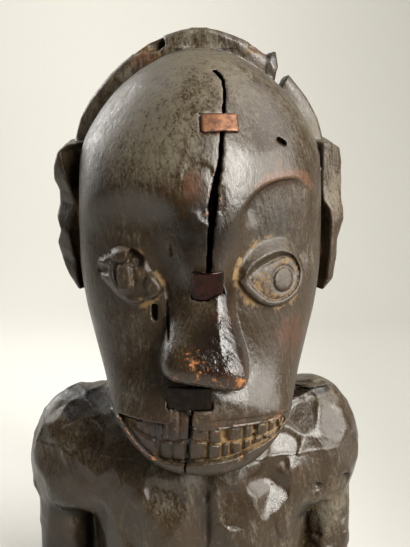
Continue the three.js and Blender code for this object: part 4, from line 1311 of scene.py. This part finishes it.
WEAR = [
    (34, -46, 184.5, 5, 0.62), (25, -48, 184.8, 4, 0.55), (39.5, -42, 181, 4, 0.6),
    (38, -36, 198, 4, 0.65), (30, -48, 92.3, 4, 0.75), (24, -52, 92.6, 4, 0.5), (-30, -48, 93.2, 4, 0.6),
    (-20, -54, 93, 5, 0.45), (15, -56, 76.4, 2.6, 0.95), (10, -57, 73, 5, 0.6), (2, -58, 70, 6, 0.5),
    (-2, -58, 85.8, 2.6, 1), (-1, -58, 78, 3, 0.6), (-19.8, -52, 76, 2, 0.8), (-3.5, -72, 119.5, 3.8, 1),
    (-3, -72, 114.6, 3, 1), (-11, -70, 112.6, 5, 0.85), (6, -71, 112, 7, 0.72),
    (13.6, -68, 111.4, 4.4, 0.95), (-9, -69, 123, 5, 0.7), (-2, -71, 117, 9, 0.66),
    (-5, -72, 121, 5, 0.95), (1, -56, 172, 3, 0.6), (6.6, -54, 178, 2.4, 0.7), (0.6, -54, 186, 2.2, 0.7),
    (44, -30, 117, 4, 0.45), (37, -36, 128, 5, 0.4), (66, -10, 56, 6, 0.4), (-32, -46, 110, 2, 0.7),
    (-0.8, -58, 93.6, 1.6, 0.7), (24, -47, 107, 2.2, 0.5), (-62, -6, 40, 6, 0.3), (54, -20, 41, 7, 0.45),
    (25, 9, 229, 3, 0.5),
]
GLOSS = [
    (12, -52, 186, 15, 0.8), (24, -48, 200, 18, 0.6), (5, -66, 125, 17, 1), (9, -62, 140, 9, 1),
    (20, -56, 102, 15, 0.85), (0, -52, 168, 16, 0.8), (40, -20, 72, 22, 0.5), (30, -34, 50, 12, 0.8),
    (14, -36, 46, 9, 0.55), (-14, -36, 46, 10, 0.5), (60, -8, 60, 18, 0.5), (-50, -20, 66, 20, 0.3),
    (60, -4, 172, 15, 0.4), (0, 10, 236, 24, 0.4), (1, -62, 146, 7, 0.8), (0, -40, 215, 18, 0.4),
]
MATTE = [
    (-26, -46, 147, 12, 1), (27, -46, 147, 13, 0.6), (-14, -54, 86, 13, 0.9), (14, -56, 84, 15, 0.6),
    (0, -50, 70, 14, 0.4), (-2, -52, 173, 6, 0.9),
]
RED = [
    (-4, -53, 178, 6, 0.5), (-4, -53, 184, 5, 0.4), (6, -68, 118, 12, 0.85), (8, -66, 132, 10, 0.7),
    (-21, -50, 84, 8, 0.8), (-14, -54, 90, 8, 0.75), (36, -38, 122, 9, 0.6), (-8, -58, 94, 4, 0.7),
    (-30, -46, 180, 9, 0.35), (-14, -50, 181, 6, 0.55), (9, -52, 178, 5, 0.5), (-3, -60, 146, 6, 0.5),
    (8.2, -57, 87.6, 2.4, 0.9),
]
BROWN = [
    (36, -38, 122, 13, 0.75), (42, -30, 135, 10, 0.5), (30, -44, 186, 11, 0.55), (-22, 8, 229, 10, 0.8),
    (24, 10, 229, 8, 0.7), (-45, 0, 160, 12, 0.5), (-12, -50, 160, 8, 0.45), (40, -20, 60, 14, 0.45),
    (-38, -22, 62, 12, 0.4), (56, -18, 44, 12, 0.6), (0, -50, 90, 22, 0.5), (-4, -52, 182, 8, 0.8),
    (-16, -52, 86, 12, 0.9), (-50, -20, 50, 14, 0.5), (-58, 0, 20, 16, 0.5), (-22, -46, 150, 9, 0.5),
    (57, 0, 165, 9, 0.5), (-30, -30, 50, 8, 0.35),
]
CRUST = [(-2, -70, 118, 9, 0.8), (9, -68, 116, 9, 1), (9, -64, 130, 9, 1), (56, -8, 26, 14, 1)]
# Ashen film; the first two spots, on the right arm and the right lock, are painted sheen.
FILM_AND_SHEEN = [
    (58, -14, 40, 16, 1), (58, -4, 172, 14, 1), (-20, -40, 205, 34, 0.85), (0, -20, 226, 30, 1),
    (25, -36, 210, 26, 0.6), (-30, -46, 165, 22, 0.35), (-28, -48, 120, 24, 0.3), (0, 12, 236, 30, 0.8),
    (-50, 10, 200, 26, 0.6), (50, 10, 200, 24, 0.7), (-55, -10, 66, 22, 0.5), (-10, -70, 108.4, 5, 0.9),
    (4, -70, 108, 5, 0.8), (-14, -38, 52, 16, 0.6), (60, 0, 70, 20, 0.5), (-26, -40, 20, 16, 0.4),
    (-57, -4, 170, 14, 0.5),
]
# Mostly painted shade: at the brow centre, in the hollow under the right brow, under the nose, along the
# breastbone, under the shoulders and in the armpits.
SHADE_AND_DARK = [
    (0, -52, 158, 13, 0.8), (-5, -60, 104, 9, 0.9), (20, -46, 172, 14, 0.5), (2, -34, 42, 7, 0.6),
    (5, -66, 124, 16, 0.95), (8, -60, 142, 8, 0.9), (1, -50, 166, 15, 1), (28, -46, 166, 14, 0.65),
    (10, -48, 176, 8, 0.75), (-15, -54, 86, 12, 0.85), (-50, -20, 50, 12, 0.5), (-60, 0, 14, 24, 0.85),
    (1, -36, 50, 7, 0.6), (44, -18, 40, 6, 0.9), (-46, -14, 30, 9, 0.9), (2, -34, 20, 10, 0.5),
    (-48, -14, 42, 9, 0.5), (-58, -16, 40, 14, 0.8), (-54, -20, 58, 12, 0.55),
]


# How much a step in depth counts beside one in the front view.
DEEP = 0.35


def blobs(places, x, y, z):
    """How strongly a list of places reaches each point."""
    total = np.zeros_like(x)
    for at_x, at_y, at_z, radius, strength in places:
        squared = (x - at_x) ** 2 + (DEEP * (y - at_y)) ** 2 + (z - at_z) ** 2
        total = np.maximum(total, strength * np.exp(-squared / (0.9 * radius * radius)))
    return total


CRACK_MIDDLE = np.array(UPPER_CRACK).T[:2]


def front_dust(x, z):
    """Dust round the eyes, in the right one's opening and between the teeth, in the front view."""
    to_right = outline_distance(RIGHT_EYE, x, z)
    to_left = outline_distance(LEFT_EYE, x, z)
    to_opening = outline_distance(RIGHT_OPENING, x, z)
    pupil = RIGHT_PUPIL
    far = np.hypot((x - pupil["x"]) / pupil["half"], (z - pupil["z"]) / pupil["height"])
    patchy = smooth(0.2, 0.8, 0.5 + 0.8 * rough(x, 0 * x, z, 5.0, seed=2))
    corner = hill(x, z, (16, 147), 12, 14)
    dust = bell(to_right - 0.8, 1.6) * np.clip(0.1 + 0.7 * patchy + 0.4 * corner, 0, 1.1)
    inner = (0.38 + 0.3 * patchy + 0.35 * smooth(-0.2, -1.6, to_opening) * smooth(29, 20, x))
    dust = np.maximum(dust, inner * (to_opening < 0.3) * smooth(1.0, 1.25, far))
    dust = np.maximum(dust, bell(to_left - 0.5, 1.6) * patchy * smooth(-32, -22, x))
    dust = np.maximum(dust, 0.45 * patchy * (to_left < 0))
    inside = -mouth_distance(x, z)
    gaps = smooth(1.9, 0.9, tooth_relief(x, z)) * smooth(0.2, 1.0, inside)
    return np.maximum(dust, gaps * mix(0.4, 0.95, smooth(-8, 6, x)))


def front_arch(x, z):
    """The brown band over the hollow's right edge, in the front view."""
    return bell(hollow_map(x, z) - 1.9, 2.3) * smooth(12, 22, x) * smooth(170, 177, z)


def front_wear_and_highlight(x, z):
    """Wear on the hollow's right edge, and wear with painted edge highlight on the lip and jaw's rim, in the
    front view.
    """
    to_mouth = mouth_distance(x, z)
    # The line round the lip and the jaw's rim is partly wear, partly painted edge highlight.
    mouth = 0.42 * bell(to_mouth - 0.3, 0.6) * smooth(8, 16, np.abs(x + 2))
    return np.maximum(0.36 * front_arch(x, z), mouth)


def paint(piece):
    """Keeps the masks of the dirt, the wear, the patina and the painted shade, sheen and edge highlights on
    the mesh.
    """
    mesh = piece.data
    count = len(mesh.vertices)
    place = np.zeros(count * 3, np.float32)
    mesh.vertices.foreach_get("co", place)
    normal = np.zeros(count * 3, np.float32)
    mesh.vertices.foreach_get("normal", normal)
    place, normal = place.reshape(-1, 3) / MM, normal.reshape(-1, 3)

    def beside(distance):
        return in_parts(carving, place + normal * distance)

    hollow = smooth(0.1, 0.65, 1 - beside(2.5) / 2.5)
    crease = smooth(0.15, 0.7, 1 - beside(1.0) / 1.0)
    edge = smooth(0.15, 0.6, 1 + beside(-1.2) / 1.2)
    x, y, z = place.T
    head = head_form(x, y, z)
    crack = crack_form(x, y, z, head)
    up = np.clip(normal[:, 2], 0, 1)
    ahead = smooth(-20, -30, y)
    dust_map = FrontMap(front_dust, (-50, 50), (66, 166), 0.5)
    wear_and_highlight_map = FrontMap(front_wear_and_highlight, (-50, 50), (66, 196), 0.5)
    arch_map = FrontMap(front_arch, (-50, 50), (140, 196), 0.5)
    # A painted highlight along the crack's left lip, laid into the wear mask.
    lip_of_crack = bell(crack - 0.4, 0.45) * smooth(160, 172, z) * (x < np.interp(z, *CRACK_MIDDLE))
    # Ashen film, more on upward faces and towards the back, with painted sheen at two spots.
    film = np.maximum(blobs(FILM_AND_SHEEN, x, y, z), 0.22 + 0.3 * up + 0.1 * smooth(20, 60, y))
    dust = blobs(DUST, x, y, z) * (0.4 + 0.75 * hollow + 0.25 * crease)
    wear = blobs(WEAR, x, y, z) * (0.75 + 0.4 * edge)
    # Lighter on sharp edges: partly rubbed wear, partly painted edge highlight.
    rubbed_and_edge_highlight = 0.25 * edge * smooth(0.6, 1, edge)
    # Painted shade: darker in hollows and creases.
    painted_cavity_shade = 0.95 * smooth(0.1, 0.7, hollow) * smooth(0.15, 0.8, crease)
    masks = {
        "film": film * (1 - 0.8 * blobs(GLOSS, x, y, z)),
        "dust": np.maximum(dust, dust_map(x, z) * ahead) + 0.2 * crease * hollow,
        "wear": np.maximum.reduce([wear, wear_and_highlight_map(x, z) * ahead, 0.5 * lip_of_crack]) + rubbed_and_edge_highlight,
        "gloss": blobs(GLOSS, x, y, z),
        "matte": blobs(MATTE, x, y, z),
        "red": blobs(RED, x, y, z),
        "brown": np.maximum(blobs(BROWN, x, y, z), arch_map(x, z) * ahead),
        "crust": blobs(CRUST, x, y, z),
        # Painted shade in hollows and creases, together with the listed dark spots, which are mostly painted
        # shade too.
        "dark": np.maximum(blobs(SHADE_AND_DARK, x, y, z), painted_cavity_shade),
        # Painted shade deep in the crack.
        "crack_shade": smooth(-0.9, -2.2, head) * smooth(1.2, 0.3, crack),
    }
    for name, values in masks.items():
        add_mask(mesh, name, values)


# The repair straps, with the sizes and places of their solids, and the look of each.
STRAPS = [
    {
        "name": "copper_strap", "node": "forehead_copper_strap", "slot": "bright_copper",
        "width": 14.8, "height": 7.8, "thickness": 1.0, "bend": 40, "hook": 1.6,
        "at": (6.4, -43.6, 205), "lean": 0.58, "swing": 0.14,
        "bright": (0.155, 0.065, 0.028), "dark": (0.045, 0.019, 0.010),
        "rough": 0.47, "metal": 0.6, "ior": 1.5,
    },
    {
        "name": "red_brown_strap", "node": "nose_bridge_strap", "slot": "dark_copper",
        "width": 13.2, "height": 12, "thickness": 0.9, "bend": 9, "hook": 0.8,
        "at": (1.6, -58, 145.6), "lean": -0.3, "swing": 0.0,
        "bright": (0.025, 0.0062, 0.004), "dark": (0.008, 0.0035, 0.003),
        "rough": 0.27, "metal": 0.75, "ior": 1.45,
    },
    {
        "name": "black_strap", "node": "upper_lip_strap", "slot": "black_iron",
        "width": 17.2, "height": 10, "thickness": 0.9, "bend": 42, "hook": 0.8,
        "at": (-5.4, -58.9, 102.6), "lean": -0.19, "swing": -0.12,
        "bright": (0.011, 0.006, 0.003), "dark": (0.0036, 0.0022, 0.0011),
        "rough": 0.42, "metal": 0.1, "ior": 1.2,
    },
]


def strap_matrix(one):
    turn = Matrix.Rotation(one["swing"], 4, "Z") @ Matrix.Rotation(-one["lean"], 4, "X")
    return Matrix.Translation(Vector(one["at"])) @ turn


def strap_form(x, y, z, one, grow):
    """Distance to a strap's bent strip, grown by a margin."""
    inverse = np.array(strap_matrix(one).inverted())
    u, v, w = (row[0] * x + row[1] * y + row[2] * z + row[3] for row in inverse[:3])
    bend = one["bend"]
    radius = np.hypot(u, v - bend)
    along = np.arctan2(u, bend - v) * bend
    return np.maximum(
        np.maximum(np.abs(radius - bend) - one["thickness"] / 2, np.abs(along) - one["width"] / 2),
        np.abs(w) - one["height"] / 2,
    ) - grow


# How a strap is cut: how uneven its sides are, how soft its edges, how far that reaches in, how much
# its corners are cut off, and how deep it is dented.
STRAP_CUT = {"wobble": 0.12, "soft": 0.34, "edge": 0.9, "corner": 1.84, "dents": 0.12}


def make_strap(one):
    """A hand-cut strip with thickness, softened edges, ends that turn in, and slightly uneven sides."""
    columns, rows, cut = 44, 24, STRAP_CUT
    rng = np.random.default_rng(len(one["name"]))
    wobble = rng.normal(0, cut["wobble"], (4, 8))
    s, t = np.meshgrid(np.linspace(-1, 1, columns), np.linspace(-1, 1, rows), indexing="ij")
    steps = np.linspace(-1, 1, 8)
    half_w, half_h = one["width"] / 2, one["height"] / 2
    corner = np.maximum(0, np.abs(s) + np.abs(t) - cut["corner"])
    along = s * (half_w - 0.1 + np.interp(t, steps, wobble[0]) * np.abs(s) ** 3) - np.sign(s) * corner * 2.4
    across = t * (half_h - 0.12 + np.interp(s, steps, wobble[1]) * np.abs(t) ** 3) - np.sign(t) * corner * 2.0
    lift_s = np.maximum(0, np.abs(along) - (half_w - cut["edge"])) / cut["edge"]
    lift_t = np.maximum(0, np.abs(across) - (half_h - cut["edge"])) / cut["edge"]
    sink = cut["soft"] * 0.7 * (lift_s**2 + lift_t**2)
    dents = cut["dents"] * 0.8 * noise(along, across, 0 * along, 4.0, 2)
    turned = one["bend"] + dents - smooth(0.86, 1.0, np.abs(s)) * one["hook"] * 0.3
    angle = along / one["bend"]
    layers = []
    for radius in (turned + one["thickness"] / 2 - sink, turned - one["thickness"] / 2):
        layer = np.stack([radius * np.sin(angle), one["bend"] - radius * np.cos(angle), across], -1)
        layers.append(layer.reshape(-1, 3))
    count = columns * rows
    index = np.arange(count).reshape(columns, rows)
    front = np.stack([index[:-1, :-1], index[1:, :-1], index[1:, 1:], index[:-1, 1:]], -1).reshape(-1, 4)
    loop = np.concatenate([index[:, 0], index[-1, 1:], index[-2::-1, -1], index[0, -2:0:-1]])
    after = np.roll(loop, -1)
    sides = np.stack([after, loop, loop + count, after + count], -1)
    faces = np.concatenate([front, front[:, ::-1] + count, sides])
    mesh = mesh_from(one["name"], np.concatenate(layers), faces)
    mesh.transform(Matrix.Scale(MM, 4) @ strap_matrix(one))
    add_mask(mesh, "rim", np.concatenate([np.maximum(lift_s, lift_t).ravel(), np.ones(count)]))
    mesh.materials.append(metal_material(one))
    piece = placed(one["name"], mesh)
    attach(piece, "root")
    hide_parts(one["node"])


add_camera()
add_lights()
add_stage()
bust = make_bust()
thin_out(bust, TRIANGLES)
paint(bust)
bust.data.materials.append(wood_material())
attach(bust, "root")
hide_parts("carved_wooden_bust")
for strap in STRAPS:
    make_strap(strap)
